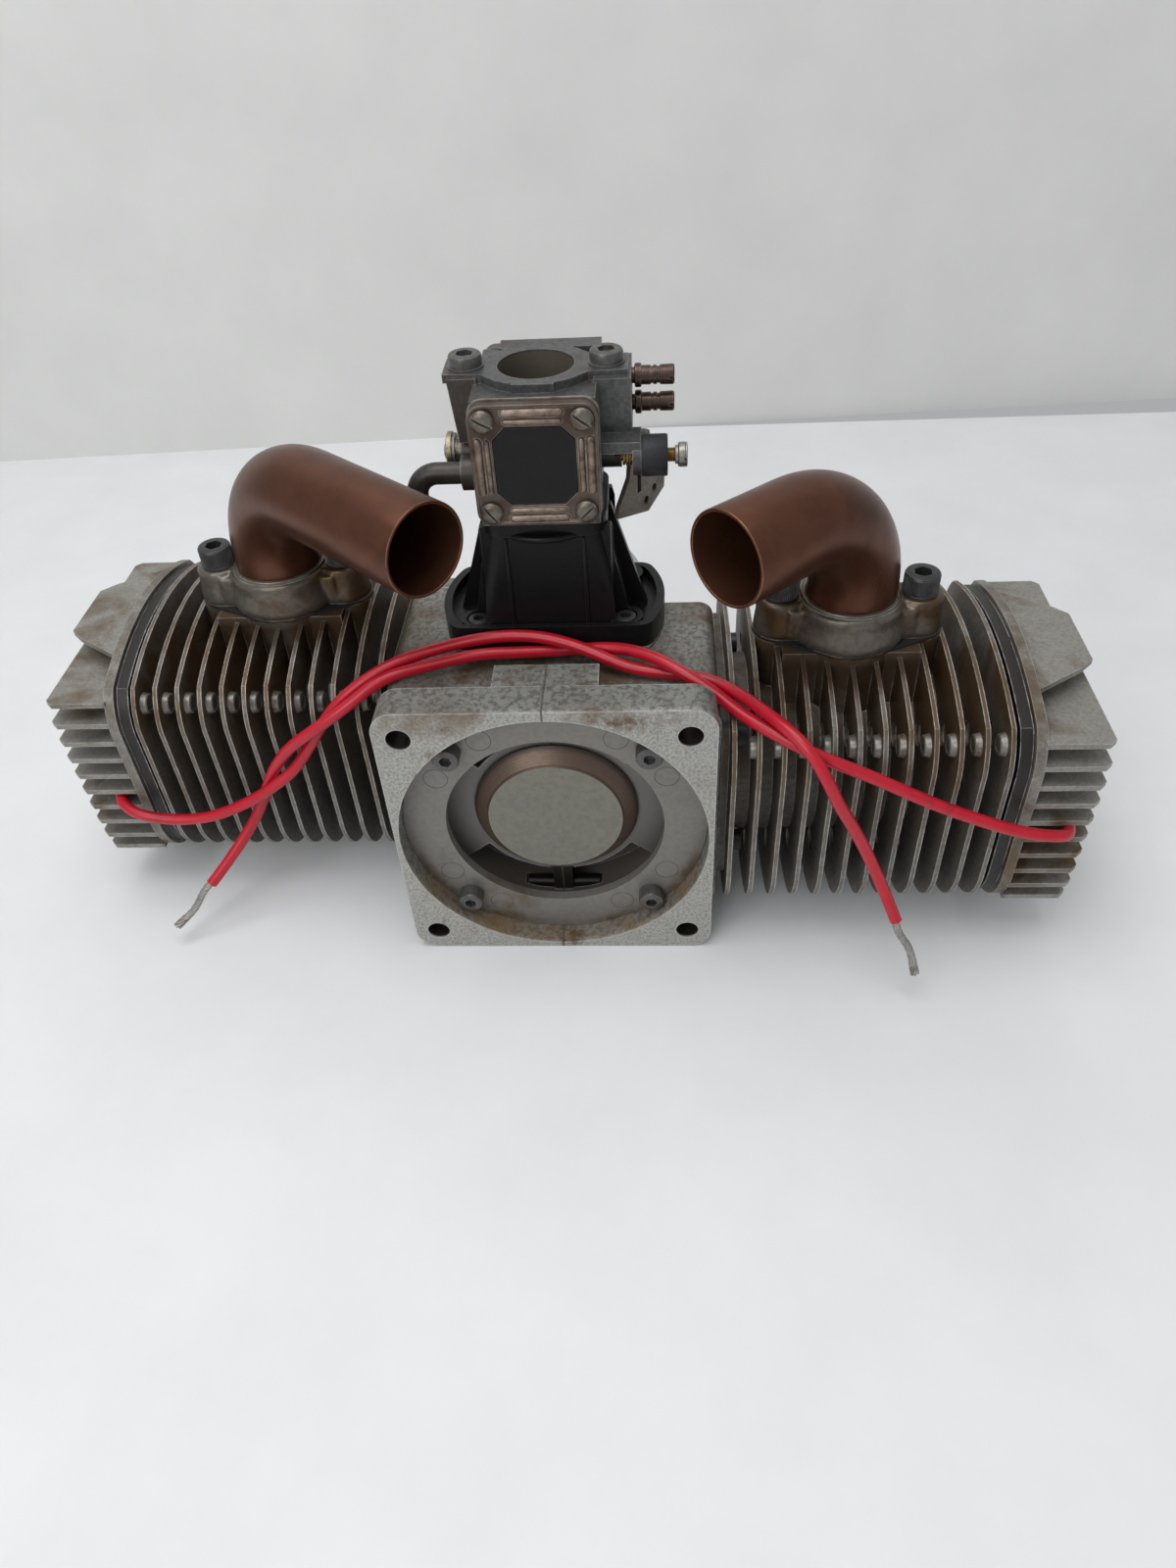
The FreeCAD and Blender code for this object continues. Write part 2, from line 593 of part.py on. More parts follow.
def runningGear(name, side, axis):
    """One piston with its rings, wrist pin, rod and crankpin, drawn at top dead centre."""
    turn = ALONG_X
    pinX = f"{side} * (crankThrow + rodLength)"
    crown = f"{side} * (crankThrow + rodLength + crownHeight)"
    skirt = f"{side} * (crankThrow + rodLength - skirtLength)"
    low = skirt if side > 0 else crown
    blank = cylinder(name + "PistonBlank", "boreRadius - pistonGap", "crownHeight + skirtLength", (low, axis, "0"), turn)
    hollowLow = f"{skirt} - 1" if side > 0 else f"{skirt} - (skirtLength + crownHeight - 7)"
    hollow = cylinder(name + "PistonHollow", "boreRadius - 4", "skirtLength + crownHeight - 6",
                      (hollowLow, axis, "0"), turn)
    hollow = cut(name + "PistonInside", hollow, [
        box(name + tag, (f"{pinX} - 11.5", f"{axis} + {start}", "-11.5"),
            (f"{pinX} + 11.5", f"{axis} + {end}", "11.5"))
        for tag, start, end in (("BossFront", "-40", "-rodWidth / 2 - 1"), ("BossRear", "rodWidth / 2 + 1", "40"))])
    tools = [hollow, cylinder(name + "PinEye", "wristPin + runningGap", "80", (pinX, f"{axis} - 40", "0"), ALONG_Y)]
    rings = []
    for index, drop in enumerate(("4", "8")):
        start = f"{crown} - {side} * {drop} - 0.8"
        outer = cylinder(name + "GrooveOuter", "boreRadius + 1", "1.6", (start, axis, "0"), turn)
        inner = cylinder(name + "GrooveInner", "boreRadius - 3", "1.6", (start, axis, "0"), turn)
        tools.append(cut(name + "Groove", outer, [inner]))
        body = cylinder(name + "RingBody", "boreRadius - 0.05", "1.5", (f"{start} + 0.05", axis, "0"), turn)
        eye = cylinder(name + "RingEye", "boreRadius - 2.9", "1.5", (f"{start} + 0.05", axis, "0"), turn)
        gap = box(name + "RingGap", (f"{start} - 1", f"{axis} - 0.3", "20"), (f"{start} + 3", f"{axis} + 0.3", "40"))
        rings.append(cut(name + "Ring", body, [eye, gap]))
    node(f"piston_{name}", cut(f"piston_{name}", blank, tools))
    group(f"piston_rings_{name}", rings)
    pin = cylinder(name + "WristPinBody", "wristPin", "wristPinLength", (pinX, f"{axis} - wristPinLength / 2", "0"), ALONG_Y)
    pinEye = cylinder(name + "WristPinEye", "wristPin - 3", "wristPinLength + 2",
                      (pinX, f"{axis} - wristPinLength / 2 - 1", "0"), ALONG_Y)
    node(f"wrist_pin_{name}", cut(f"wrist_pin_{name}", pin, [pinEye]))
    bigX = f"{side} * crankThrow"
    front = f"{axis} - rodWidth / 2"
    big = cylinder(name + "BigEnd", "bigEnd", "rodWidth", (bigX, front, "0"), ALONG_Y)
    small = cylinder(name + "SmallEnd", "smallEnd", "rodWidth", (pinX, front, "0"), ALONG_Y)
    shank = pad(name + "Shank", "XZ", f"-({axis} - 5)", "10", [[
        (bigX, "-10"), (pinX, "-7"), (pinX, "7"), (bigX, "10")]], reverse=True)
    eyes = [cylinder(name + "BigEye", "pinRadius + runningGap", "rodWidth + 2", (bigX, f"{front} - 1", "0"), ALONG_Y),
            cylinder(name + "SmallEye", "wristPin + runningGap", "rodWidth + 2", (pinX, f"{front} - 1", "0"), ALONG_Y)]
    flute = [pad(name + "Flute" + tag, "XZ", f"-({axis} + {start})", "4", [[
        (f"{side} * (crankThrow + 20)", "-5.5"), (f"{side} * (crankThrow + rodLength - 16)", "-4"),
        (f"{side} * (crankThrow + rodLength - 16)", "4"), (f"{side} * (crankThrow + 20)", "5.5")]], reverse=True)
        for tag, start in (("Front", "-6.5"), ("Rear", "2.5"))]
    node(f"connecting_rod_{name}", cut(f"connecting_rod_{name}", fuse(name + "RodBody", [big, small, shank]), eyes + flute))
    node(f"crankpin_{name}", cylinder(f"crankpin_{name}", "pinRadius", "rodWidth + 2 * webGap",
                                      (bigX, f"{front} - webGap", "0"), ALONG_Y))


for name, side in SIDES.items():
    runningGear(name, side, AXES[name])


# ---------------------------------------------------------------- cylinders

def finFace(axis, x, grow=0.0):
    """The fins' outline across a cylinder: upright flanks, cut corners and an arched top and bottom."""
    wide = size("finHalfY") + grow
    tall = size("finHalfZ") + grow
    flank = tall * 0.72
    knee = wide * 0.86
    middle = FreeCAD.Vector(x, size(axis), 0)

    def spot(across, up):
        return middle + FreeCAD.Vector(0, across, up)

    def arch(a, b, c):
        return Part.Arc(spot(*a), spot(*b), spot(*c)).toShape()

    def flat(a, b):
        return Part.LineSegment(spot(*a), spot(*b)).toShape()

    edges = [
        flat((wide, -flank * 0.62), (wide, flank * 0.72)),
        arch((wide, flank * 0.72), (wide - 2.2, flank * 0.93), (knee, tall * 0.82)),
        arch((knee, tall * 0.82), (0, tall), (-knee, tall * 0.82)),
        arch((-knee, tall * 0.82), (2.2 - wide, flank * 0.93), (-wide, flank * 0.72)),
        flat((-wide, flank * 0.72), (-wide, -flank * 0.62)),
        arch((-wide, -flank * 0.62), (-wide + 5, -flank * 0.97), (-knee + 10, -tall * 0.88)),
        arch((-knee + 10, -tall * 0.88), (0, -tall), (knee - 10, -tall * 0.88)),
        arch((knee - 10, -tall * 0.88), (wide - 5, -flank * 0.97), (wide, -flank * 0.62)),
    ]
    return Part.Face(Part.Wire(edges))


def barrel(name, side):
    """A finned cylinder, from its base flange to the thick flange under the head."""
    axis = AXES[name]
    base = side * (size("deckHalf") + size("gasketThick"))
    top = side * size("cylinderTop")
    at = FreeCAD.Vector(base, size(axis), 0)
    heading = FreeCAD.Vector(side, 0, 0)
    pieces = [Part.makeCylinder(size("barrelRadius"), abs(top - base), at, heading)]
    foot = Part.makeBox(5.0, 84.0, 78.0, FreeCAD.Vector(base if side > 0 else base - 5.0, size(axis) - 42.0, -39.0))
    foot = foot.makeFillet(9.0, [e for e in foot.Edges if along(e, X)])
    pieces.append(foot)
    for index in range(int(size("finCount"))):
        start = side * (size("firstFin") + index * size("finPitch"))
        pieces.append(finFace(axis, start).extrude(heading * size("finThick")))
    flangeStart = side * size("topFlangeStart")
    pieces.append(finFace(axis, flangeStart, -1.5).extrude(heading * (size("cylinderTop") - size("topFlangeStart"))))
    port = FreeCAD.Vector(side * size("portX"), size(axis), 0)
    reach = size("exhaustScrewX")
    boss = Part.makeBox(2 * reach, 34.0, size("portDeck") - 30.0, port + FreeCAD.Vector(-reach, -17.0, 30.0))
    pieces.append(boss)
    for shift in (-reach, reach):
        pieces.append(Part.makeCylinder(size("exhaustEar"), size("portDeck") - 30.0, port + FreeCAD.Vector(shift, 0, 30.0)))
    pieces.append(Part.makeCylinder(21.0, size("portDeck") - 30.0, port + FreeCAD.Vector(0, 0, 30.0)))
    whole = pieces[0].multiFuse(pieces[1:])
    tools = [Part.makeCylinder(size("boreRadius"), abs(top - base) + 2, at - heading, heading)]
    for across in (-1, 1):
        for up in (-1, 1):
            spot = at + FreeCAD.Vector(0, across * size("baseScrewY"), up * size("baseScrewZ"))
            tools.append(Part.makeCylinder(size("accessRadius"), abs(top - base), spot + heading * 5.0, heading))
            tools.append(Part.makeCylinder(2.6, 7.0, spot - heading, heading))
    tools.append(Part.makeCylinder(size("portRadius"), size("portDeck"), port))
    for shift in (-reach, reach):
        tools.append(Part.makeCylinder(3.4, 20.0, port + FreeCAD.Vector(shift, 0, size("portDeck") - 16.0)))
    return node(f"cylinder_{name}", solid(f"cylinder_{name}", whole.cut(tools).removeSplitter()))


for name, side in SIDES.items():
    barrel(name, side)

gaskets = []
baseScrews = []
for name, side in SIDES.items():
    axis = AXES[name]
    start = "deckHalf" if side > 0 else "-deckHalf - gasketThick"
    sheetMetal = cylinder(name + "BaseGasket", "boreRadius + 5", "gasketThick", (start, axis, "0"), ALONG_X)
    eye = cylinder(name + "BaseGasketEye", "boreRadius + 0.5", "gasketThick + 2", (f"{start} - 1", axis, "0"), ALONG_X)
    gaskets.append(cut(name + "BaseGasketRing", sheetMetal, [eye]))
    start = "cylinderTop" if side > 0 else "-cylinderTop - gasketThick"
    sheetMetal = cylinder(name + "HeadGasket", "boreRadius + 6", "gasketThick", (start, axis, "0"), ALONG_X)
    eye = cylinder(name + "HeadGasketEye", "boreRadius + 0.5", "gasketThick + 2", (f"{start} - 1", axis, "0"), ALONG_X)
    gaskets.append(cut(name + "HeadGasketRing", sheetMetal, [eye]))
    for across in ("baseScrewY", "-baseScrewY"):
        for level in ("baseScrewZ", "-baseScrewZ"):
            turn = ALONG_X.inverted() if side > 0 else ALONG_X
            seat = f"{side} * (deckHalf + gasketThick + 5)"
            baseScrews.append(capScrew(name + "BaseScrew", "2.45", "16", "4.25", "5",
                                       (seat, f"{axis} + {across}", level), turn))
group("cylinder_gaskets", gaskets)
group("cylinder_base_screws", baseScrews)


# ---------------------------------------------------------------- heads

def outlineHalf(level):
    """Half the fins' width at one height, so that the head follows the cylinder."""
    tall = size("finHalfZ")
    share = min(abs(level) / tall, 0.98)
    return size("finHalfY") * (1 - share ** 5) ** 0.25


def head(name, side):
    """A cylinder head: a plate, a core round the plug and a stack of level fins."""
    axis = AXES[name]
    heading = FreeCAD.Vector(side, 0, 0)
    start = side * (size("cylinderTop") + size("gasketThick"))
    outer = side * size("headFinEnd")
    plateEnd = start + side * size("headPlate")
    length = abs(outer - plateEnd)
    middle = size(axis)
    pieces = [finFace(axis, start).extrude(heading * size("headPlate"))]
    pieces.append(Part.makeCylinder(size("headCore"), 16.0, FreeCAD.Vector(start, middle, 0), heading))
    thick = size("headFinThick")

    def slab(level, inner, tip, corner):
        low = plateEnd - side * 0.5
        far = outer
        points = [FreeCAD.Vector(low, middle - inner, level), FreeCAD.Vector(far - side * corner, middle - tip, level),
                  FreeCAD.Vector(far, middle - tip + corner, level), FreeCAD.Vector(far, middle + tip - corner, level),
                  FreeCAD.Vector(far - side * corner, middle + tip, level), FreeCAD.Vector(low, middle + inner, level)]
        return Part.Face(Part.makePolygon(points + points[:1])).extrude(FreeCAD.Vector(0, 0, thick))

    for index in range(10):
        level = size("headFinTop") - index * size("headFinPitch")
        half = outlineHalf(level)
        pieces.append(slab(level - thick / 2, half, half, 2.5))
    for level in (size("finHalfZ") - 6.0, -size("finHalfZ") + 6.0):
        pieces.append(slab(level - thick / 2, 33.0, 20.0, 5.0))
    for across in (-1, 1):
        for up in (-1, 1):
            spot = FreeCAD.Vector(start, middle + across * size("headBoltY"), up * size("headBoltZ"))
            pieces.append(Part.makeCylinder(size("headBoltPocket") + 1.6, 10.0, spot, heading))
    whole = pieces[0].multiFuse(pieces[1:])
    tools = [Part.makeCylinder(size("plugPocket"), length + 9, FreeCAD.Vector(start + side * 9.0, middle, 0), heading),
             Part.makeCylinder(5.0, 20.0, FreeCAD.Vector(start - side, middle, 0), heading),
             Part.makeCone(size("boreRadius") - 4.0, 8.0, 5.0, FreeCAD.Vector(start, middle, 0), heading)]
    for across in (-1, 1):
        for up in (-1, 1):
            spot = FreeCAD.Vector(start, middle + across * size("headBoltY"), up * size("headBoltZ"))
            tools.append(Part.makeCylinder(3.1, 12.0, spot - heading, heading))
            tools.append(Part.makeCylinder(size("headBoltPocket"), length + 9, spot + heading * 7.0, heading))
    return node(f"head_{name}", solid(f"head_{name}", whole.cut(tools).removeSplitter()))


headBolts = []
for name, side in SIDES.items():
    head(name, side)
    axis = AXES[name]
    turn = ALONG_X.inverted() if side > 0 else ALONG_X
    for across in ("headBoltY", "-headBoltY"):
        for level in ("headBoltZ", "-headBoltZ"):
            seat = f"{side} * (cylinderTop + gasketThick + 7)"
            headBolts.append(capScrew(name + "HeadBolt", "2.9", "7.3", "5", "6",
                                      (seat, f"{axis} + {across}", level), turn))
    start = f"{side} * (cylinderTop + gasketThick + 9)"
    reach = ALONG_X if side > 0 else ALONG_X.inverted()
    back = ALONG_X.inverted() if side > 0 else ALONG_X
    plug = fuse(f"spark_plug_{name}", [
        cylinder(name + "PlugThread", "4.9", "8.6", (start, axis, "0"), back),
        cylinder(name + "PlugSeat", "8", "3", (start, axis, "0"), reach),
        cylinder(name + "PlugHex", "7.2", "5", (f"{start} + {side} * 3", axis, "0"), reach),
        cone(name + "PlugCore", "4.6", "3.6", "8", (f"{start} + {side} * 8", axis, "0"), reach),
        cylinder(name + "PlugCap", "2.4", "3", (f"{start} + {side} * 16", axis, "0"), reach)])
    node(f"spark_plug_{name}", plug)
group("head_bolts", headBolts)


# ---------------------------------------------------------------- exhaust

def earedFace(middle, level, radius, reach, ear):
    """A two-eared flange outline: a round middle joined to both ears by their common tangents."""
    lean = math.acos((radius - ear) / reach)
    across = math.cos(lean)
    aside = math.sin(lean)

    def spot(x, y):
        return middle + FreeCAD.Vector(x, y, level)

    edges = []
    for side in (1, -1):
        start = (side * radius * across, side * radius * aside)
        join = (side * (reach + ear * across), side * ear * aside)
        edges.append(Part.LineSegment(spot(*start), spot(*join)).toShape())
        edges.append(Part.Arc(spot(*join), spot(side * (reach + ear), 0), spot(join[0], -join[1])).toShape())
        edges.append(Part.LineSegment(spot(join[0], -join[1]), spot(start[0], -start[1])).toShape())
        edges.append(Part.Arc(spot(start[0], -start[1]), spot(0, -side * radius), spot(-start[0], -start[1])).toShape())
    return Part.Face(Part.Wire(edges))


def elbow(middle, side, reach):
    """The tube's middle line: up out of the flange, round one bend and level to its mouth."""
    heading = math.radians(size("pipeHeading"))
    ahead = FreeCAD.Vector(-side * math.cos(heading), -math.sin(heading), 0)
    bend = size("pipeBend")
    level = size("pipeLevel")
    foot = middle + UP * size("pipeSeat")
    bendStart = middle + UP * (level - bend)
    bendEnd = middle + ahead * bend + UP * level
    pivot = middle + ahead * bend + UP * (level - bend)
    crest = pivot + (UP - ahead).normalize() * bend
    mouth = middle + ahead * reach + UP * level
    return Part.Wire([Part.LineSegment(foot, bendStart).toShape(), Part.Arc(bendStart, crest, bendEnd).toShape(),
                      Part.LineSegment(bendEnd, mouth).toShape()])


def tube(path, radius, start):
    """A round bar along a path that starts upright."""
    ring = Part.Wire(Part.makeCircle(radius, start, UP))
    return path.makePipeShell([ring], True, False)


exhaustGaskets = []
exhaustScrews = []
for name, side in SIDES.items():
    axis = AXES[name]
    middle = FreeCAD.Vector(side * size("portX"), size(axis), 0)
    reach = size("exhaustScrewX")
    deck = size("portDeck")
    flangeStart = deck + size("exhaustGasket")
    holes = [Part.makeCylinder(size("portRadius"), 30.0, middle + UP * (deck - 1))]
    holes += [Part.makeCylinder(4.3, 30.0, middle + FreeCAD.Vector(shift, 0, deck - 1)) for shift in (-reach, reach)]
    washer = earedFace(middle, deck, 21.0, reach, size("exhaustEar")).extrude(UP * size("exhaustGasket"))
    exhaustGaskets.append(solid(name + "ExhaustGasket", washer.cut(holes)))
    casting = earedFace(middle, flangeStart, 22.0, reach, size("exhaustEar")).extrude(
        UP * (size("exhaustFlangeTop") - flangeStart))
    lip = Part.makeCylinder(size("exhaustLip"), 8.0, middle + UP * (size("exhaustLipTop") - 8.0))
    socket = Part.makeCylinder(size("pipeRadius") + size("runningGap"), 30.0, middle + UP * size("pipeSeat"))
    node(f"exhaust_flange_{name}", solid(f"exhaust_flange_{name}", casting.fuse(lip).cut(holes + [socket])))
    path = elbow(middle, side, size("pipeReach" + name.capitalize()))
    foot = middle + UP * size("pipeSeat")
    outside = tube(path, size("pipeRadius"), foot)
    inside = tube(path, size("pipeRadius") - size("pipeWall"), foot)
    node(f"exhaust_pipe_{name}", solid(f"exhaust_pipe_{name}", outside.cut(inside)))
    for shift in (-1, 1):
        exhaustScrews.append(capScrew(name + "ExhaustScrew", "3.35", "exhaustFlangeTop - portDeck + 14", "6.5", "8", (
            f"{side} * portX + {shift} * exhaustScrewX", axis, "exhaustFlangeTop"),
            FreeCAD.Rotation(FreeCAD.Vector(1, 0, 0), 180)))
group("exhaust_gaskets", exhaustGaskets)
group("exhaust_flange_screws", exhaustScrews)


# ---------------------------------------------------------------- intake

def roundedBlock(halfX, halfY, corner, level):
    """A rounded rectangle round the intake's axis, as a wire."""
    middle = FreeCAD.Vector(0, size("intakeY"), level)
    blank = Part.makePlane(2 * halfX, 2 * halfY, middle - FreeCAD.Vector(halfX, halfY, 0))
    prism = blank.extrude(UP)
    prism = prism.makeFillet(corner, [e for e in prism.Edges if along(e, UP)])
    return [f for f in prism.Faces if abs(f.CenterOfMass.z - level) < 1e-6][0].OuterWire


def manifold():
    """The moulded intake: a trimmed round foot with a raised rim, a tapered trunk and gussets."""
    seat = size("caseHalfHeight") + size("padHeight")
    axisY = size("intakeY")
    middle = FreeCAD.Vector(0, axisY, 0)
    flat = size("intakeFlat")
    trim = Part.makeBox(200, 2 * flat, 200, FreeCAD.Vector(-100, axisY - flat, 0))
    foot = Part.makeCylinder(size("intakeBase"), size("intakeRim") - seat, middle + UP * seat).common(trim)
    foot = foot.makeFillet(6.0, [e for e in foot.Edges if along(e, UP)])
    inner = Part.makeBox(200, 2 * flat - 4.0, 200, FreeCAD.Vector(-100, axisY - flat + 2.0, 0))
    pocket = Part.makeCylinder(size("intakeBase") - 3.0, 20.0, middle + UP * size("intakeFloor")).common(inner)
    pocket = pocket.makeFillet(5.0, [e for e in pocket.Edges if along(e, UP)])
    foot = foot.cut(pocket)
    trunk = Part.makeLoft([roundedBlock(31.0, 19.5, 8.0, seat + 1), roundedBlock(21.5, 19.0, 9.0, size("intakeTop") - 5)],
                          True, True)
    collar = Part.Face(roundedBlock(22.5, 20.5, 9.0, size("intakeTop") - 6)).extrude(UP * 6.0)
    pieces = [trunk, collar]
    for side in (-1, 1):
        corner = [FreeCAD.Vector(side * 18.0, axisY - 1.5, size("intakeFloor") - 2),
                  FreeCAD.Vector(side * 37.0, axisY - 1.5, size("intakeFloor") - 2),
                  FreeCAD.Vector(side * 23.5, axisY - 1.5, size("intakeTop") - 4),
                  FreeCAD.Vector(side * 18.0, axisY - 1.5, size("intakeTop") - 4)]
        pieces.append(Part.Face(Part.makePolygon(corner + corner[:1])).extrude(FreeCAD.Vector(0, 3, 0)))
        for across in (-14.0, 14.0):
            shift = FreeCAD.Vector(0, across, 0)
            pieces.append(Part.Face(Part.makePolygon([p + shift for p in corner + corner[:1]])).extrude(
                FreeCAD.Vector(0, 3, 0)).common(Part.makeBox(62, 60, 100, FreeCAD.Vector(-31, axisY - 30, 0))))
    bosses = []
    for across in (-1, 1):
        for depth in (-1, 1):
            spot = FreeCAD.Vector(across * size("intakeScrewX"), axisY + depth * size("intakeScrewY"), seat)
            bosses.append(spot)
            pieces.append(Part.makeCylinder(6.5, size("intakeRim") - seat, spot))
    whole = foot.multiFuse(pieces)
    tools = [Part.makeLoft([roundedBlock(19.0, 14.0, 5.0, seat - 1), roundedBlock(13.5, 13.5, 12.0, size("intakeTop") + 1)],
                           True, True)]
    for spot in bosses:
        tools.append(Part.makeCylinder(2.7, 30.0, spot - UP))
        tools.append(Part.makeCylinder(4.6, 60.0, spot + UP * 5.0))
    return node("intake_manifold", solid("intake_manifold", whole.cut(tools).removeSplitter()))


manifold()

intakeScrews = []
for across in (-1, 1):
    for depth in (-1, 1):
        intakeScrews.append(capScrew("IntakeScrew", "2.45", "13", "4.25", "5", (
            f"{across} * intakeScrewX", f"intakeY + {depth} * intakeScrewY", "caseHalfHeight + padHeight + 5"),
            FreeCAD.Rotation(FreeCAD.Vector(1, 0, 0), 180)))
group("intake_screws", intakeScrews)

seat = "caseHalfHeight + padHeight"
plate = box("ReedPlate", ("-reedHalfX", "intakeY - reedHalfY", "reedSeat"), ("reedHalfX", "intakeY + reedHalfY", seat))
ports = []
petals = []
for x in ("-10", "0.8"):
    for y in ("intakeY - 9", "intakeY + 0.8"):
        ports.append(box("ReedPort", (x, y, "reedSeat - 1"), (f"{x} + 9.2", f"{y} + 8.2", f"{seat} + 1")))
for y in ("intakeY - 10", "intakeY + 0.3"):
    petals.append(box("ReedPetal", ("-12", y, "reedSeat - 0.45"), ("12", f"{y} + 9.7", "reedSeat - 0.05")))
node("reed_block", cut("reed_block", plate, ports))
group("reed_petals", petals)


# ---------------------------------------------------------------- carburettor

floor = "intakeTop"
body = box("CarbBlock", ("-carbHalfX", "carbFront", floor), ("carbHalfX", "carbRear", "carbTop - earThick"))
collar = cylinder("CarbCollar", "19.5", "carbTop - earThick - intakeTop", ("0", "intakeY", floor))
frontTab = box("CarbTab", ("-7", "intakeY - 17.5", "carbTop - earThick - 1"), ("7", "intakeY + 17.5", "carbTop"))
rearBlock = box("CarbRearBlock", ("-14", "intakeY + 14.5", "carbTop - 8"), ("carbHalfX + 1", "carbRear", "carbTop"))
ears = pad("CarbEars", "XY", "carbTop - earThick", "earThick", [[
    ("-earEnd", "intakeY - 7"), ("-18", "intakeY - 8"), ("-12", "intakeY - 14"), ("-8", "intakeY - 16"),
    ("8", "intakeY - 16"), ("12", "intakeY - 14"), ("18", "intakeY - 8"), ("earEnd", "intakeY - 7"),
    ("earEnd", "intakeY + 7"), ("18", "intakeY + 8"), ("12", "intakeY + 14"), ("8", "intakeY + 16"),
    ("-8", "intakeY + 16"), ("-12", "intakeY + 14"), ("-18", "intakeY + 8"), ("-earEnd", "intakeY + 7")]])
sideBlock = box("CarbSideBlock", ("carbHalfX - 1", "intakeY - 10", "throttleLevel + 6"),
                ("sideBlockEnd", "intakeY + 12", "carbTop - 2"))
leftWeb = pad("CarbLeftWeb", "XZ", "-(intakeY - 9)", "18", [[
    ("-carbHalfX + 1", "throttleLevel + 7"), ("-27.5", "throttleLevel + 7"), ("-29.5", "carbTop - 1"),
    ("-carbHalfX + 1", "carbTop - 1")]], reverse=True)
shaftBoss = cylinder("CarbShaftBoss", "7", "56", ("-28", "intakeY", "throttleLevel"), ALONG_X)
inletBoss = cylinder("CarbInletBoss", "6", "8", ("-27", "idleY", "throttleLevel - 2"), ALONG_X)
idleArm = box("CarbIdleArm", ("carbHalfX - 1", "idleY - 5", "idleLevel + 3"), ("35", "intakeY - 6", "idleLevel + 7"))
idleLug = cylinder("CarbIdleLug", "6.5", "3", ("sideBlockEnd", "idleY", "idleLevel"), ALONG_X)
tools = [cylinder("CarbThroat", "throttleBore", "60", ("0", "intakeY", f"{floor} - 1")),
         cylinder("CarbInlet", "inletRadius", "inletDepth + 1", ("0", "intakeY", "carbTop - inletDepth")),
         cylinder("CarbShaftHole", "throttleShaft + runningGap", "70", ("-35", "intakeY", "throttleLevel"), ALONG_X),
         cylinder("CarbIdleHole", "2.55", "9", ("sideBlockEnd - 3", "idleY", "idleLevel"), ALONG_X),
         cylinder("CarbInletHole", "4", "12", ("-33", "idleY", "throttleLevel - 2"), ALONG_X)]
for level in ("needleHigh", "needleLow"):
    tools.append(cylinder("CarbNeedleHole", "needleRadius + runningGap", "6", ("sideBlockEnd - 4.5", "needleY", level), ALONG_X))
for side in (-1, 1):
    tools.append(cylinder("CarbBoltHole", "3.1", "20", (f"{side} * carbBoltX", "intakeY", "carbTop - 15")))
    for level in (-1, 1):
        tools.append(cylinder("CarbCoverHole", "2", "carbRear - carbFront + 2", (
            f"{side} * coverScrew", "carbFront - 1", f"coverMiddle + {level} * coverScrew"), ALONG_Y))
node("carburettor_body", cut("carburettor_body", fuse("CarbBody", [
    body, collar, frontTab, rearBlock, ears, sideBlock, leftWeb, shaftBoss, inletBoss, idleArm, idleLug]), tools))


def carbCover(name, start, panel):
    """A square cover of the carburettor, with a screw at each corner and four raised bars."""
    plate = pad(name + "Plate", "XZ", f"-({start})", "coverThick", [[
        ("-coverHalf", "coverMiddle - coverHalf"), ("coverHalf", "coverMiddle - coverHalf"),
        ("coverHalf", "coverMiddle + coverHalf"), ("-coverHalf", "coverMiddle + coverHalf")]], reverse=True)
    rounded(plate, "5", lambda e: along(e, Y))
    tools = []
    for side in (-1, 1):
        for level in (-1, 1):
            tools.append(cylinder(name + "Hole", "2.1", "coverThick + 2", (
                f"{side} * coverScrew", f"{start} - 1", f"coverMiddle + {level} * coverScrew"), ALONG_Y))
    bars = []
    if panel:
        tools.append(octagon(name + "Inset", f"({start}) - 1", "2.2", "panelHalf + 0.1"))
        for side in (-1, 1):
            bars.append(cylinder(name + "Bar", "1.8", "21", (
                "-10.5", f"{start} + 0.6", f"coverMiddle + {side} * (coverHalf - 3.6)"), ALONG_X))
            bars.append(cylinder(name + "Bar", "1.8", "21", (
                f"{side} * (coverHalf - 3.6)", f"{start} + 0.6", "coverMiddle - 10.5")))
    return node(name, cut(name, fuse(name + "Body", [plate] + bars) if bars else plate, tools))


def octagon(name, start, depth, half):
    """A square panel with its corners cut, standing across the engine."""
    trim = f"({half} - 4.5)"
    return pad(name, "XZ", f"-({start})", depth, [[
        (f"{across} * {wide}", f"coverMiddle + {up} * {tall}")
        for across, wide, up, tall in (
            (-1, f"({half})", -1, trim), (-1, trim, -1, f"({half})"), (1, trim, -1, f"({half})"),
            (1, f"({half})", -1, trim), (1, f"({half})", 1, trim), (1, trim, 1, f"({half})"),
            (-1, trim, 1, f"({half})"), (-1, f"({half})", 1, trim))]], reverse=True)


carbCover("pump_cover", "carbFront - coverThick", True)
carbCover("metering_cover", "carbRear", False)
node("pump_cover_panel", octagon("pump_cover_panel", "carbFront - coverThick + 0.4", "0.8", "panelHalf"))

coverScrews = []
for side in (-1, 1):
    for level in (-1, 1):
        x = f"{side} * coverScrew"
        z = f"coverMiddle + {level} * coverScrew"
        coverScrews.append(capScrew("PumpScrew", "1.95", "coverThick + 8", "3.9", "2.4",
                                    (x, "carbFront - coverThick", z), ALONG_Y, socket=False))
        coverScrews.append(capScrew("MeterScrew", "1.95", "coverThick + 8", "3.9", "2.4",
                                    (x, "carbRear + coverThick", z), BACKWARD, socket=False))
group("carburettor_cover_screws", coverScrews)

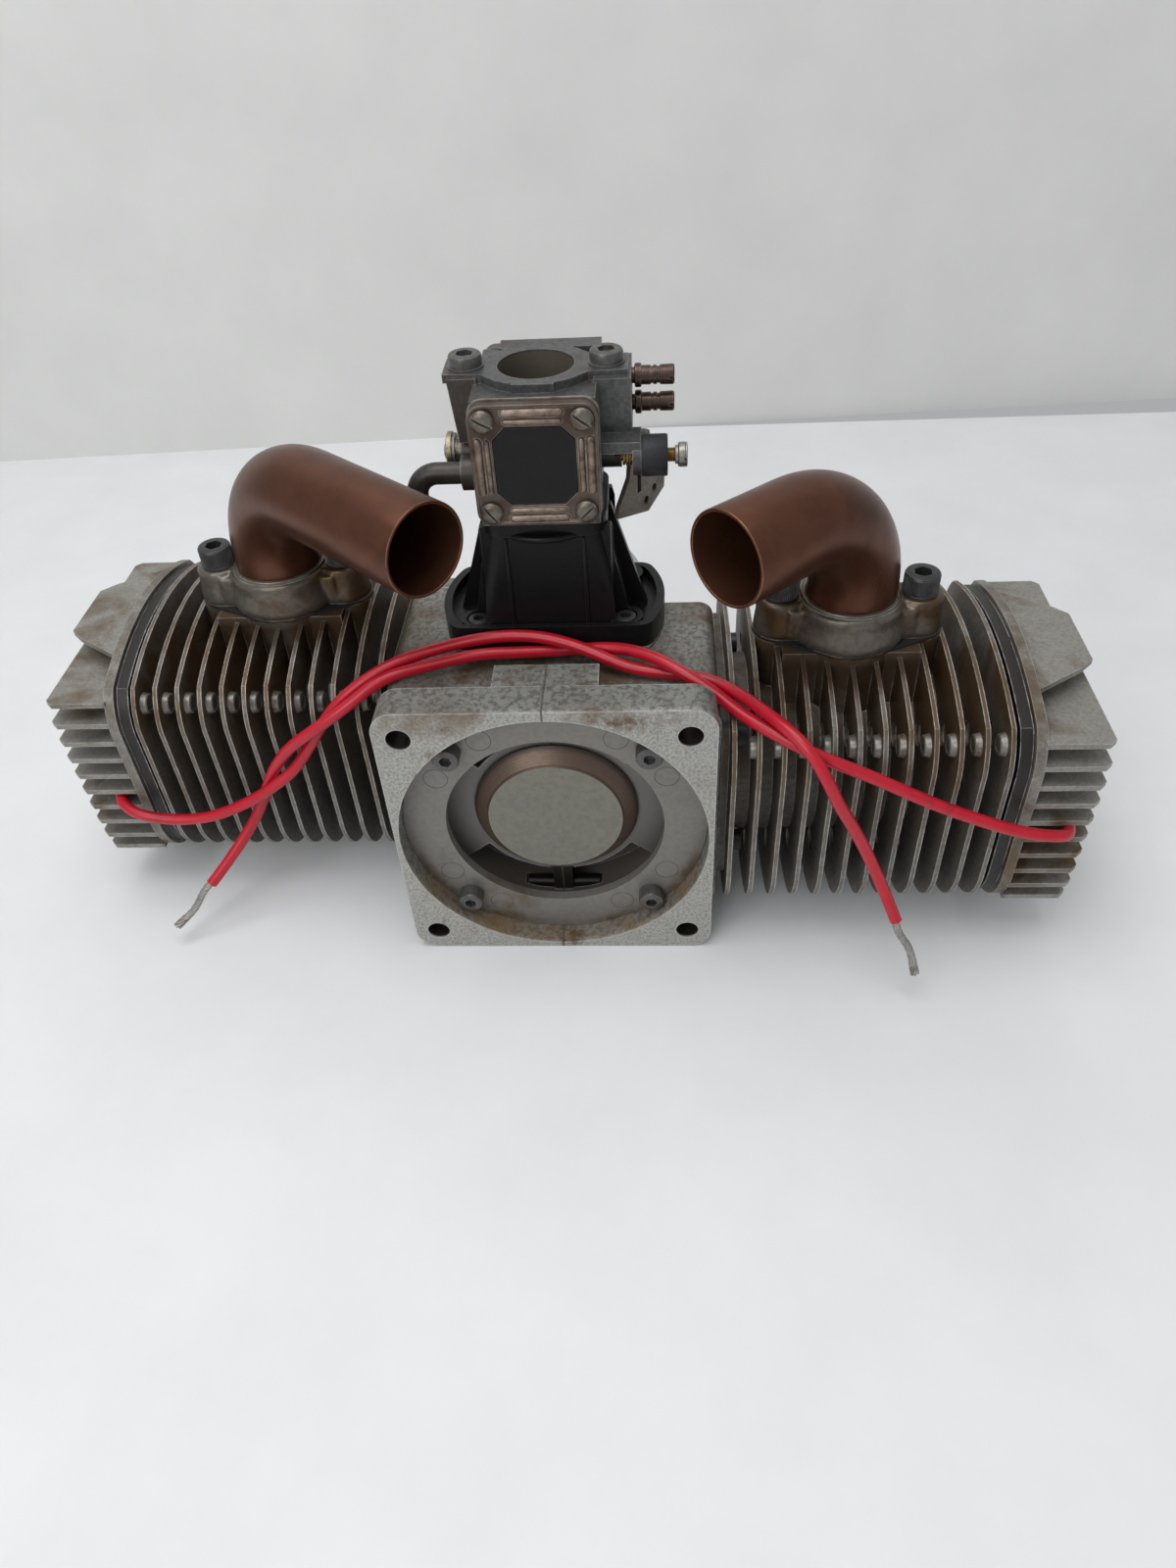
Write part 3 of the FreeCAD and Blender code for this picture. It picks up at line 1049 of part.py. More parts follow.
carbBolts = []
for side in (-1, 1):
    carbBolts.append(capScrew("CarbBolt", "2.95", "12", "5.6", "6", (f"{side} * carbBoltX", "intakeY", "carbTop"),
                              FreeCAD.Rotation(FreeCAD.Vector(1, 0, 0), 180)))
group("carburettor_bolts", carbBolts)

start = FreeCAD.Vector(-26.0, size("idleY"), size("throttleLevel") - 2)
corner = FreeCAD.Vector(-44.0, size("idleY"), size("throttleLevel") - 2)
tail = corner - UP * 16.0
bendRadius = 8.0
into = corner + X * bendRadius
out = corner - UP * bendRadius
crest = corner + X * bendRadius - UP * bendRadius + (UP - X).normalize() * bendRadius
path = Part.Wire([Part.LineSegment(start, into).toShape(), Part.Arc(into, crest, out).toShape(),
                  Part.LineSegment(out, tail).toShape()])
ring = Part.Wire(Part.makeCircle(3.8, start, X))
hole = Part.Wire(Part.makeCircle(2.2, start, X))
barb = Part.makeCone(4.6, 3.8, 4.0, tail, UP)
hose = path.makePipeShell([ring], True, False).fuse(barb)
bore = path.makePipeShell([hole], True, False)
node("fuel_inlet_elbow", solid("fuel_inlet_elbow", hose.cut([bore, Part.makeCylinder(2.2, 8, tail - UP, UP)])))

shaft = fuse("ThrottleShaftBody", [
    cylinder("ThrottleRod", "throttleShaft", "66", ("-31", "intakeY", "throttleLevel"), ALONG_X),
    cylinder("ThrottleDisc", "6.3", "3", ("-33.5", "intakeY", "throttleLevel"), ALONG_X)])
slot = box("ThrottleSlot", ("-throttlePlate - 0.1", "intakeY - 20", "throttleLevel - 0.8"),
           ("throttlePlate + 0.1", "intakeY + 20", "throttleLevel + 0.8"))
node("throttle_shaft", cut("throttle_shaft", shaft, [slot]))
node("throttle_plate", cylinder("throttle_plate", "throttlePlate", "1.5", ("0", "intakeY", "throttleLevel - 0.75")))


def lever():
    """The perforated throttle lever, set a little aslant on its shaft."""
    lean = 32.0
    middle = FreeCAD.Vector(0, 0, 0)
    outline = [(-5, 3), (6, 4), (9, -6), (17, -10), (16, -22), (5, -27), (-15, -21), (-14, -17), (-7, -9)]
    points = [FreeCAD.Vector(0, u, v) for u, v in outline]
    plate = Part.Face(Part.makePolygon(points + points[:1])).extrude(X * 1.8)
    holes = [Part.makeCylinder(1.7, 10, FreeCAD.Vector(-2, u, v), X) for u, v in ((12, -13), (9, -19.5), (3.5, -22))]
    holes.append(Part.makeBox(10, 2.6, 11, FreeCAD.Vector(-2, -2.3, -17)))
    plate = plate.cut(holes)
    plate.rotate(middle, UP, -lean)
    plate.translate(FreeCAD.Vector(33.0, size("intakeY"), size("throttleLevel")))
    hub = Part.makeCylinder(5.8, 5.5, FreeCAD.Vector(31.0, size("intakeY"), size("throttleLevel")), X)
    eye = Part.makeCylinder(size("throttleShaft"), 12.0, FreeCAD.Vector(28.0, size("intakeY"), size("throttleLevel")), X)
    return node("throttle_lever", solid("throttle_lever", plate.fuse(hub).cut(eye)))


lever()

for name, level in (("mixture_needle_high", "needleHigh"), ("mixture_needle_low", "needleLow")):
    pieces = [cylinder(name + "Stem", "needleRadius", "18", ("sideBlockEnd - 4", "needleY", level), ALONG_X)]
    for step, wide in ((1, "3.9"), (4.6, "3.5"), (8.2, "3.5"), (11.8, "3.5")):
        pieces.append(cylinder(name + "Collar", wide, "2.6", (f"sideBlockEnd + {step}", "needleY", level), ALONG_X))
    slot = box(name + "Slot", ("sideBlockEnd + 12.2", "needleY - 5", f"{level} - 0.6"),
               ("sideBlockEnd + 15", "needleY + 5", f"{level} + 0.6"))
    node(name, cut(name, fuse(name + "Body", pieces), [slot]))

stem = cylinder("IdleStem", "2.5", "17", ("sideBlockEnd - 2", "idleY", "idleLevel"), ALONG_X)
tip = cone("IdleTip", "0.4", "2.5", "4", ("sideBlockEnd - 6", "idleY", "idleLevel"), ALONG_X)
cheese = cylinder("IdleHead", "4.2", "4.2", ("sideBlockEnd + 14.4", "idleY", "idleLevel"), ALONG_X)
slot = box("IdleSlot", ("sideBlockEnd + 17", "idleY - 6", "idleLevel - 0.6"),
           ("sideBlockEnd + 20", "idleY + 6", "idleLevel + 0.6"))
node("idle_screw", cut("idle_screw", fuse("IdleBody", [stem, tip, cheese]), [slot]))
sleeve = cylinder("SleeveBody", "sleeveRadius", "sleeveLength", ("sideBlockEnd + 3", "idleY", "idleLevel"), ALONG_X)
sleeveEye = cylinder("SleeveEye", "2.55", "sleeveLength + 2", ("sideBlockEnd + 2", "idleY", "idleLevel"), ALONG_X)
node("idle_screw_sleeve", cut("idle_screw_sleeve", sleeve, [sleeveEye]))


# ---------------------------------------------------------------- leads

LEAD_LEFT = [
    (-186, 47, -7.5), (-185.5, 36, -7.5), (-177, 28.5, -10), (-163, 27, -12.5), (-147, 26.5, -11.5),
    (-134, 26, -6.5), (-122, 26, 0), (-112.5, 26.5, 6.5), (-104, 28.5, 12.5), (-97.5, 30.5, 20.5), (-91, 31.8, 30),
    (-84, 32.6, 39.5), (-75, 35, 47.5), (-61, 41, 54), (-44, 46.5, 56.8), (-26, 49, 60), (-7, 49.4, 60.7), (11, 44, 59),
    (29, 36.5, 53.5), (45, 34, 52.7), (58, 31, 52.7), (68, 22.6, 52.6), (77, 11, 52.9), (84.5, 0.7, 52.6), (92, -6.8, 48),
    (97.5, -10, 38.5), (102.5, -10.4, 27.5), (108.8, -9.6, 16), (115, -9, 3), (120, -10, -8), (124.5, -12.5, -18),
    (128.5, -16, -27),
]
LEAD_RIGHT = [
    (192, 13, 1), (191.5, 2, 1), (185, -3.5, 4.5), (171, -5, 8), (156, -5.2, 14), (137, -5, 22.5), (115, -4, 34.5),
    (103, -3.3, 40), (93, -1.5, 44), (84, 2.5, 46.9), (76, 8, 48.4), (68, 15, 49.8), (59, 23.2, 53.3), (48, 29.5, 57.3),
    (37, 38, 58.7), (24, 45.2, 57.3), (8, 48.4, 54.2), (-9, 46, 55), (-27, 43.7, 56.5), (-45, 40.1, 54.2), (-63, 35, 52.4),
    (-76, 28.5, 44.5), (-87, 26, 37.5), (-95, 26.5, 31.5), (-103, 28, 24.5), (-110.5, 30, 15), (-116, 31.6, 6),
    (-120.5, 31, -3.5), (-125.5, 29, -12.5), (-131.5, 25, -20.5), (-139, 19.5, -29), (-147, 14, -37),
]


def leadPath(points):
    """Straight runs joined by tangent arcs, each as large as its two runs allow."""
    spots = [FreeCAD.Vector(*p) for p in points]
    edges = []
    here = spots[0]
    radii = []
    for before, corner, after in zip(spots, spots[1:], spots[2:]):
        inward = corner - before
        outward = after - corner
        shorter = min(inward.Length, outward.Length)
        turn = inward.getAngle(outward)
        inward.normalize()
        outward.normalize()
        trim = 0.45 * shorter
        radii.append(trim / math.tan(turn / 2))
        into = corner - inward * trim
        out = corner + outward * trim
        bisector = (outward - inward).normalize()
        pivot = corner + bisector * math.hypot(trim, radii[-1])
        crest = pivot - bisector * radii[-1]
        edges.append(Part.LineSegment(here, into).toShape())
        edges.append(Part.Arc(into, crest, out).toShape())
        here = out
    edges.append(Part.LineSegment(here, spots[-1]).toShape())
    return Part.Wire(edges), radii


tips = []
for name, points in (("lead_left", LEAD_LEFT), ("lead_right", LEAD_RIGHT)):
    path, radii = leadPath(points)
    start = FreeCAD.Vector(*points[0])
    heading = (FreeCAD.Vector(*points[1]) - start).normalize()
    ring = Part.Wire(Part.makeCircle(size("leadRadius"), start, heading))
    lead = path.makePipeShell([ring], True, False)
    wanted = math.pi * size("leadRadius") ** 2 * path.Length
    print(name, "length", round(path.Length, 1), "volume ratio", round(lead.Volume / wanted, 4),
          "smallest radius", round(min(radii), 1), [round(r) for r in radii])
    node(name, solid(name, lead))
    end = FreeCAD.Vector(*points[-1])
    reach = (end - FreeCAD.Vector(*points[-2])).normalize()
    tips.append(solid(name + "Tip", Part.makeCylinder(size("leadEndRadius"), size("leadEndLength"), end, reach)))
group("lead_ends", tips)


# ---------------------------------------------------------------- checks and files

doc.recompute()
faults = [item.Name for item in doc.Objects if "Invalid" in item.State or "Error" in item.State]
for name, item in nodes.items():
    if item.Shape.isNull() or not item.Shape.isValid() or not item.Shape.Solids:
        faults.append(name)
if faults:
    raise SystemExit(f"these objects did not build: {faults}")
os.makedirs("parts", exist_ok=True)
for name, item in nodes.items():
    item.Shape.exportStep(os.path.join("parts", name + ".step"))
print(len(nodes), "nodes written")
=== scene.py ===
import json
import math

import bpy
from mathutils import Matrix, Vector


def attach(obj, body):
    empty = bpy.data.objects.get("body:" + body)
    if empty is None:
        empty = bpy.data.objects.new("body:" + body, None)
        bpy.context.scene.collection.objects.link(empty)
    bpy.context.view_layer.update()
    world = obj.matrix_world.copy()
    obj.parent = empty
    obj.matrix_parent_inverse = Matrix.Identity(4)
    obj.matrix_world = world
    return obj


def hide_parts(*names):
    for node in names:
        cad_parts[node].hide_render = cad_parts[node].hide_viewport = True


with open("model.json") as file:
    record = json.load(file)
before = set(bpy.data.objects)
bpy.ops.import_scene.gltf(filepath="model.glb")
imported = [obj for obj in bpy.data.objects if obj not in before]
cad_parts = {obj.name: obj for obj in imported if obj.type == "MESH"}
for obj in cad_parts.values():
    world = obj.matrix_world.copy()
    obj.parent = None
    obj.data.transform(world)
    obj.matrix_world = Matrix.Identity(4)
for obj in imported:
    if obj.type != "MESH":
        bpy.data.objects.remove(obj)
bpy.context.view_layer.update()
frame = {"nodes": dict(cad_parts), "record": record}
bpy.ops.object.select_all(action="DESELECT")
mm = 0.001
print("frame loaded")

# places that several pieces share, in millimetres
cylinders = {"Left": (-1, 90.2), "Right": (1, 58.8)}  # side, and the axis's place along the shaft
portReach = 111.0  # exhaust ports, out from the shaft
earReach = 25.2  # exhaust flange screws, out from their port
carbAxis = 75.0
carbBoltReach = 23.7
coverMiddle = 128.0
coverFront = 48.0
mountReach = 51.0  # mounting holes in the square flange


# camera, where the engine was looked at from
viewpoint = {
    "place": (0.03803, -0.28692, 0.28993),
    "across": (0.99811, 0.03805, -0.04833),
    "up": (0.0102, 0.6723, 0.7402),
    "back": (0.0607, -0.7392, 0.6707),
    "lens": 24.84,
    "sensor": 36.0,
}
cameraData = bpy.data.cameras.new("camera")
cameraData.lens = viewpoint["lens"]
cameraData.sensor_width = viewpoint["sensor"]
cameraData.clip_start = 0.01
cameraData.clip_end = 20.0
camera = bpy.data.objects.new("camera", cameraData)
bpy.context.scene.collection.objects.link(camera)
turn = Matrix((viewpoint["across"], viewpoint["up"], viewpoint["back"])).transposed()
camera.matrix_world = Matrix.Translation(viewpoint["place"]) @ turn.to_4x4()
bpy.context.scene.camera = camera
print("camera placed")


# shader node groups that several finishes share
def newGroup(name, inputs, outputs):
    group = bpy.data.node_groups.new(name, "ShaderNodeTree")
    for label, value in inputs.items():
        socket = group.interface.new_socket(name=label, in_out="INPUT", socket_type="NodeSocketFloat")
        socket.default_value = value
    for label in outputs:
        group.interface.new_socket(name=label, in_out="OUTPUT", socket_type="NodeSocketFloat")
    return group, group.nodes.new("NodeGroupInput"), group.nodes.new("NodeGroupOutput")


def put(tree, kind, **settings):
    node = tree.nodes.new(kind)
    for label, value in settings.items():
        setattr(node, label, value)
    return node


def feed(tree, socket, value):
    if isinstance(value, bpy.types.NodeSocket):
        tree.links.new(value, socket)
    else:
        socket.default_value = value


def sums(tree, operation, first, second=0.0, third=0.0, clamp=False):
    node = put(tree, "ShaderNodeMath", operation=operation, use_clamp=clamp)
    for socket, value in zip(node.inputs, (first, second, third)):
        feed(tree, socket, value)
    return node.outputs[0]


def noise(tree, vector, scale, detail=4.0, roughness=0.6, warp=0.0):
    node = put(tree, "ShaderNodeTexNoise")
    feed(tree, node.inputs["Vector"], vector)
    feed(tree, node.inputs["Scale"], scale)
    feed(tree, node.inputs["Detail"], detail)
    feed(tree, node.inputs["Roughness"], roughness)
    feed(tree, node.inputs["Distortion"], warp)
    return node.outputs["Fac"]


def remap(tree, value, low, high, outLow=0.0, outHigh=1.0):
    node = put(tree, "ShaderNodeMapRange", clamp=True)
    for socket, number in zip(node.inputs, (value, low, high, outLow, outHigh)):
        feed(tree, socket, number)
    return node.outputs[0]


def objectPlace(tree):
    return put(tree, "ShaderNodeTexCoord").outputs["Object"]


castGrain, into, out = newGroup("castGrain", {"Scale": 900.0, "Speckle": 0.5}, ["Shade", "Height"])
place = objectPlace(castGrain)
fine = noise(castGrain, place, into.outputs["Scale"], 5.0, 0.65)
coarse = noise(castGrain, place, sums(castGrain, "MULTIPLY", into.outputs["Scale"], 0.12), 3.0, 0.5)
specks = remap(castGrain, fine, 0.42, 0.62)
feed(castGrain, out.inputs["Height"], sums(castGrain, "MULTIPLY_ADD", coarse, 0.6, fine))
blotched = sums(castGrain, "MULTIPLY_ADD", coarse, 0.45, specks)
feed(castGrain, out.inputs["Shade"],
     sums(castGrain, "MULTIPLY", blotched, into.outputs["Speckle"], clamp=True))

grime, into, out = newGroup("grime", {"Scale": 25.0, "Cover": 0.4, "Low": -1.0, "High": -0.9}, ["Mask"])
place = objectPlace(grime)
broad = noise(grime, place, into.outputs["Scale"], 6.0, 0.62, 0.5)
edge = sums(grime, "SUBTRACT", 0.72, sums(grime, "MULTIPLY", into.outputs["Cover"], 0.42))
patch = remap(grime, broad, edge, sums(grime, "ADD", edge, 0.16))
level = put(grime, "ShaderNodeSeparateXYZ")
feed(grime, level.inputs[0], place)
rise = remap(grime, level.outputs["Z"], into.outputs["Low"], into.outputs["High"])
feed(grime, out.inputs["Mask"], sums(grime, "MULTIPLY", patch, rise))

# painted highlight: edges found by the bevel node get a lighter colour, part real rubbing and part painted
# glint
edgeWearAndGlint, into, out = newGroup("edgeWearAndGlint", {"Radius": 0.0008, "Amount": 0.6, "Scale": 180.0}, ["Mask"])
rounded = put(edgeWearAndGlint, "ShaderNodeBevel", samples=4)
feed(edgeWearAndGlint, rounded.inputs["Radius"], into.outputs["Radius"])
facing = put(edgeWearAndGlint, "ShaderNodeNewGeometry")
likeness = put(edgeWearAndGlint, "ShaderNodeVectorMath", operation="DOT_PRODUCT")
feed(edgeWearAndGlint, likeness.inputs[0], rounded.outputs[0])
feed(edgeWearAndGlint, likeness.inputs[1], facing.outputs["Normal"])
corner = remap(edgeWearAndGlint, likeness.outputs["Value"], 0.995, 0.90)
breakUp = remap(edgeWearAndGlint, noise(edgeWearAndGlint, objectPlace(edgeWearAndGlint), into.outputs["Scale"], 4.0, 0.7), 0.3, 0.6)
brokenCorner = sums(edgeWearAndGlint, "MULTIPLY", corner, breakUp)
feed(edgeWearAndGlint, out.inputs["Mask"], sums(edgeWearAndGlint, "MULTIPLY", brokenCorner, into.outputs["Amount"], clamp=True))

latheRings, into, out = newGroup("latheRings", {"Pitch": 0.0006}, ["Height"])
split = put(latheRings, "ShaderNodeSeparateXYZ")
feed(latheRings, split.inputs[0], objectPlace(latheRings))
square = sums(latheRings, "MULTIPLY", split.outputs["X"], split.outputs["X"])
square = sums(latheRings, "MULTIPLY_ADD", split.outputs["Z"], split.outputs["Z"], square)
radius = sums(latheRings, "SQRT", square)
around = sums(latheRings, "MULTIPLY", radius, 2 * math.pi)
wave = sums(latheRings, "SINE", sums(latheRings, "DIVIDE", around, into.outputs["Pitch"]))
feed(latheRings, out.inputs["Height"], sums(latheRings, "MULTIPLY_ADD", wave, 0.5, 0.5))
print("shader groups made")


def grey(level):
    return level, level, level


def smearAndShade(colour, amount, ring=None, patch=None, over=False, **limits):
    # a stained patch, or a patch of painted shade, and where it starts, stops and how softly along X, Y, Z or
    # out from a line
    return {"colour": colour, "amount": amount, "ring": ring, "patch": patch, "over": over, "limits": limits}


# finishes: what each leaves out comes from the usual one; staining and painted shade are laid over it one
# after another, within limits in millimetres, and those marked over lie on the rubbed edges and their painted
# highlight as well
usual = {"dark": grey(0.1), "grime": (0.12, 0.08, 0.05), "wornAndGlint": grey(0.5), "metal": 0.8,
         "rough": (0.35, 0.5), "grain": 900.0, "speckle": 0.4, "bump": 0.03, "dirt": 40.0, "cover": 0.3,
         "low": -1.0, "high": -0.9, "edge": 0.0005, "wearAndGlint": 0.4, "gloss": 0.5, "stainsAndShade": []}
oil = (0.10, 0.052, 0.018)
shaftLine = ("Y", (0.0, 0.0))
ports = [("Z", (side * portReach, axis)) for side, axis in cylinders.values()]
finishes = {
    "cast_case": {
        "clean": (0.46, 0.455, 0.42), "dark": (0.19, 0.183, 0.165), "grime": (0.13, 0.08, 0.035),
        "wornAndGlint": (0.74, 0.75, 0.74), "metal": 0.35, "rough": (0.4, 0.58), "speckle": 0.62, "bump": 0.14,
        "dirt": 22.0, "cover": 0.5, "low": 0.02, "high": 0.056, "edge": 0.0008, "wearAndGlint": 0.75,
        "stainsAndShade": [
            smearAndShade((0.22, 0.222, 0.205), 0.75, Y=(2.0, 200, 1.0)),
            smearAndShade((0.085, 0.078, 0.066), 0.72, Y=(1.0, 200, 0.6), patch=(420.0, 0.47, 0.58)),
            smearAndShade(oil, 0.75, Y=(14.8, 60, 2.0), Z=(44, 70, 4.0), patch=(48.0, 0.5, 0.66)),
            smearAndShade(oil, 0.8, Y=(30, 120, 6.0), Z=(44, 70, 3.0), patch=(30.0, 0.42, 0.62)),
            smearAndShade((0.25, 0.15, 0.055), 0.7, Y=(0.2, 12.6, 0.3), Z=(-70, -22, 9.0),
                  ring=(shaftLine, (57.6, 59.4, 0.6)), patch=(60.0, 0.36, 0.6)),
            smearAndShade(oil, 0.85, Y=(-1.0, 0.4, 0.2), X=(16, 46, 3.0), Z=(51, 61, 2.0), patch=(90.0, 0.46, 0.6)),
            smearAndShade(oil, 0.7, Y=(-1.0, 0.4, 0.2), X=(-56, -30, 4.0), Z=(-56, 62, 4.0),
                  patch=(110.0, 0.55, 0.68)),
            smearAndShade(oil, 0.8, Y=(-1.0, 9.0, 1.0), X=(-2, 8, 2.0), Z=(-61, -57, 1.5), patch=(200.0, 0.42, 0.58)),
            # painted shade: the walls inside the crankcase, seen through its windows, painted darker than the
            # case
            smearAndShade((0.15, 0.13, 0.115), 0.96, Y=(13.2, 120, 0.3), ring=(shaftLine, (-1, 48.6, 0.3))),
            # painted shade: the part seen through the lower window, painted near-black
            smearAndShade((0.012, 0.01, 0.009), 0.97, X=(-5, 5, 0.3), Y=(17, 36, 0.3), Z=(-47.4, -34, 0.3), over=True),
            smearAndShade((0.075, 0.064, 0.052), 0.85, X=(-0.4, 0.4, 0.12), over=True),
            # painted shade: the inside of the four mounting holes painted near-black
            *[smearAndShade((0.016, 0.013, 0.011), 0.96, Y=(0.7, 13.4, 0.3),
                    ring=(("Y", (side, level)), (-1, 4.9, 0.12)), over=True)
              for side in (-mountReach, mountReach) for level in (-mountReach, mountReach)],
            # painted shade on the inner ledge 20 mm back, like the walls round it
            smearAndShade((0.155, 0.15, 0.138), 0.95, Y=(19.6, 20.6, 0.2), ring=(shaftLine, (-1, 47.8, 0.2)))]},
    "dark_ring": {
        "clean": (0.215, 0.205, 0.188), "dark": (0.15, 0.142, 0.13), "grime": (0.12, 0.085, 0.05),
        "wornAndGlint": (0.42, 0.41, 0.38), "metal": 0.3, "rough": (0.34, 0.46), "grain": 420.0, "speckle": 0.35,
        "dirt": 26.0, "wearAndGlint": 0.3,
        "stainsAndShade": [
            smearAndShade((0.085, 0.052, 0.028), 0.85, Z=(-70, -12, 12.0), ring=(shaftLine, (55.4, 60, 1.6)),
                  patch=(50.0, 0.36, 0.6))]},
    "black_steel": {
        "clean": (0.045, 0.045, 0.047), "dark": grey(0.018), "grime": (0.05, 0.033, 0.02), "wornAndGlint": grey(0.24),
        "metal": 0.4, "rough": (0.3, 0.45), "grain": 1500.0, "dirt": 90.0, "cover": 0.4, "edge": 0.0004,
        "wearAndGlint": 0.5,
        "stainsAndShade": [
            # painted shade: the crankcase bolt seen through the lower window, painted near-black
            smearAndShade(grey(0.008), 1.0, Y=(20, 28, 0.3), Z=(-51, -43, 0.3), over=True)]},
    "bearing_steel": {
        "clean": grey(0.5), "dark": grey(0.4), "wornAndGlint": grey(0.7), "metal": 1.0, "rough": (0.18, 0.3),
        "speckle": 0.2, "bump": 0.01, "cover": 0.2},
    "machined_aluminium": {
        "clean": grey(0.58), "dark": grey(0.46), "grime": (0.2, 0.13, 0.07), "wornAndGlint": grey(0.75), "metal": 0.9,
        "rough": (0.28, 0.4), "speckle": 0.25, "bump": 0.01, "rings": 0.0007, "cover": 0.25, "edge": 0.0006,
        "wearAndGlint": 0.5},
    "rotor_brown": {
        "clean": (0.17, 0.118, 0.09), "dark": (0.13, 0.088, 0.066), "grime": (0.11, 0.07, 0.04),
        "wornAndGlint": (0.36, 0.29, 0.22), "metal": 0.6, "rough": (0.34, 0.46), "grain": 600.0, "speckle": 0.3,
        "bump": 0.01, "rings": 0.0009,
        "stainsAndShade": [
            smearAndShade((0.225, 0.22, 0.187), 0.95, Y=(12.0, 13.05, 0.05)),
            smearAndShade((0.14, 0.135, 0.115), 0.4, Y=(12.0, 13.05, 0.05), patch=(420.0, 0.4, 0.62)),
            smearAndShade((0.08, 0.065, 0.055), 0.9, Y=(17.6, 22.0, 0.5))]},
    "forged_steel": {
        "clean": (0.3, 0.29, 0.28), "dark": (0.2, 0.19, 0.18), "metal": 0.9, "grain": 700.0, "bump": 0.04,
        "edge": 0.0006},
    "cylinder_alloy": {
        "clean": (0.2, 0.187, 0.168), "dark": (0.095, 0.085, 0.074), "grime": (0.1, 0.06, 0.028),
        "wornAndGlint": (0.74, 0.735, 0.7), "metal": 0.3, "rough": (0.34, 0.54), "grain": 620.0, "speckle": 0.6,
        "bump": 0.1, "dirt": 24.0, "cover": 0.8, "low": -0.02, "high": 0.04, "edge": 0.0006, "wearAndGlint": 1.0,
        "stainsAndShade": [
            # a near-black band on the cylinder's top fin, just under each head
            smearAndShade((0.015, 0.014, 0.014), 0.95, mirrorX=(166.2, 172, 0.1)),
            smearAndShade((0.045, 0.026, 0.012), 0.93, X=(-150, -70, 4.0), Z=(46, 56, 5.0),
                  ring=(ports[0], (-1, 33, 4.0)), patch=(60.0, 0.22, 0.42), over=True),
            smearAndShade((0.045, 0.026, 0.012), 0.93, X=(70, 150, 4.0), Z=(44, 56, 5.0),
                  ring=(ports[1], (-1, 33, 4.0)), patch=(60.0, 0.22, 0.42), over=True),
            smearAndShade((0.075, 0.036, 0.012), 0.85, X=(-150, -70, 4.0), Z=(22, 60, 9.0),
                  ring=(ports[0], (-1, 32, 6.0)), patch=(45.0, 0.4, 0.6)),
            smearAndShade((0.095, 0.045, 0.014), 0.9, X=(70, 150, 4.0), Z=(18, 60, 9.0),
                  ring=(ports[1], (-1, 34, 6.0)), patch=(40.0, 0.36, 0.56))]},
    "head_alloy": {
        "clean": (0.3, 0.288, 0.262), "dark": (0.17, 0.16, 0.142), "grime": (0.12, 0.082, 0.045),
        "wornAndGlint": (0.6, 0.59, 0.56), "metal": 0.35, "rough": (0.36, 0.52), "grain": 800.0, "speckle": 0.5,
        "bump": 0.08, "dirt": 30.0, "cover": 0.55, "wearAndGlint": 0.8,
        "stainsAndShade": [
            smearAndShade((0.1, 0.078, 0.055), 0.75, mirrorX=(170, 176, 0.8), patch=(90.0, 0.34, 0.6))]},
    "gasket_black": {
        "clean": (0.02, 0.019, 0.018), "dark": grey(0.01), "grime": (0.05, 0.03, 0.012), "wornAndGlint": grey(0.05),
        "metal": 0.0, "rough": (0.5, 0.8), "bump": 0.1, "wearAndGlint": 0.2, "gloss": 0.25},
    "plug_steel": {
        "clean": (0.6, 0.6, 0.58), "dark": (0.42, 0.42, 0.4), "grime": (0.2, 0.14, 0.08), "wornAndGlint": grey(0.75),
        "metal": 1.0, "rough": (0.2, 0.35), "speckle": 0.3, "dirt": 60.0},
    "exhaust_casting": {
        "clean": (0.165, 0.145, 0.122), "dark": (0.085, 0.072, 0.058), "grime": (0.09, 0.052, 0.024),
        "wornAndGlint": (0.52, 0.5, 0.45), "metal": 0.6, "rough": (0.26, 0.42), "grain": 420.0, "speckle": 0.5,
        "bump": 0.1, "cover": 0.6, "edge": 0.0006, "wearAndGlint": 0.8},
    "copper_brown": {
        "clean": (0.125, 0.05, 0.028), "dark": (0.075, 0.028, 0.016), "grime": (0.05, 0.024, 0.016),
        "wornAndGlint": (0.5, 0.24, 0.13), "metal": 0.7, "rough": (0.25, 0.36), "grain": 90.0, "bump": 0.01,
        "dirt": 18.0, "cover": 0.4, "wearAndGlint": 1.0},
    "intake_plastic": {
        "clean": (0.0085, 0.0085, 0.0095), "dark": grey(0.005), "grime": (0.016, 0.011, 0.007),
        "wornAndGlint": (0.055, 0.058, 0.063), "metal": 0.0, "rough": (0.24, 0.42), "grain": 1100.0, "bump": 0.04,
        "cover": 0.35, "edge": 0.0006, "wearAndGlint": 0.55, "gloss": 0.22},
    "reed_composite": {
        "clean": (0.03, 0.03, 0.028), "dark": grey(0.02), "wornAndGlint": grey(0.08), "metal": 0.0,
        "rough": (0.4, 0.55), "grain": 1200.0, "wearAndGlint": 0.2},
    "carb_gunmetal": {
        "clean": (0.098, 0.101, 0.102), "dark": (0.042, 0.04, 0.037), "grime": (0.045, 0.03, 0.018),
        "wornAndGlint": (0.4, 0.39, 0.36), "metal": 0.35, "rough": (0.3, 0.46), "grain": 700.0, "speckle": 0.55,
        "bump": 0.08, "dirt": 50.0, "cover": 0.4, "edge": 0.0006, "wearAndGlint": 0.7,
        "stainsAndShade": [
            smearAndShade((0.045, 0.03, 0.02), 0.7, X=(-40, -20.6, 0.3), Z=(100, 151.5, 0.4)),
            smearAndShade((0.035, 0.028, 0.024), 0.7, Z=(100, 126, 6.0)),
            smearAndShade((0.16, 0.135, 0.105), 0.8, Z=(120, 151.4, 0.3),
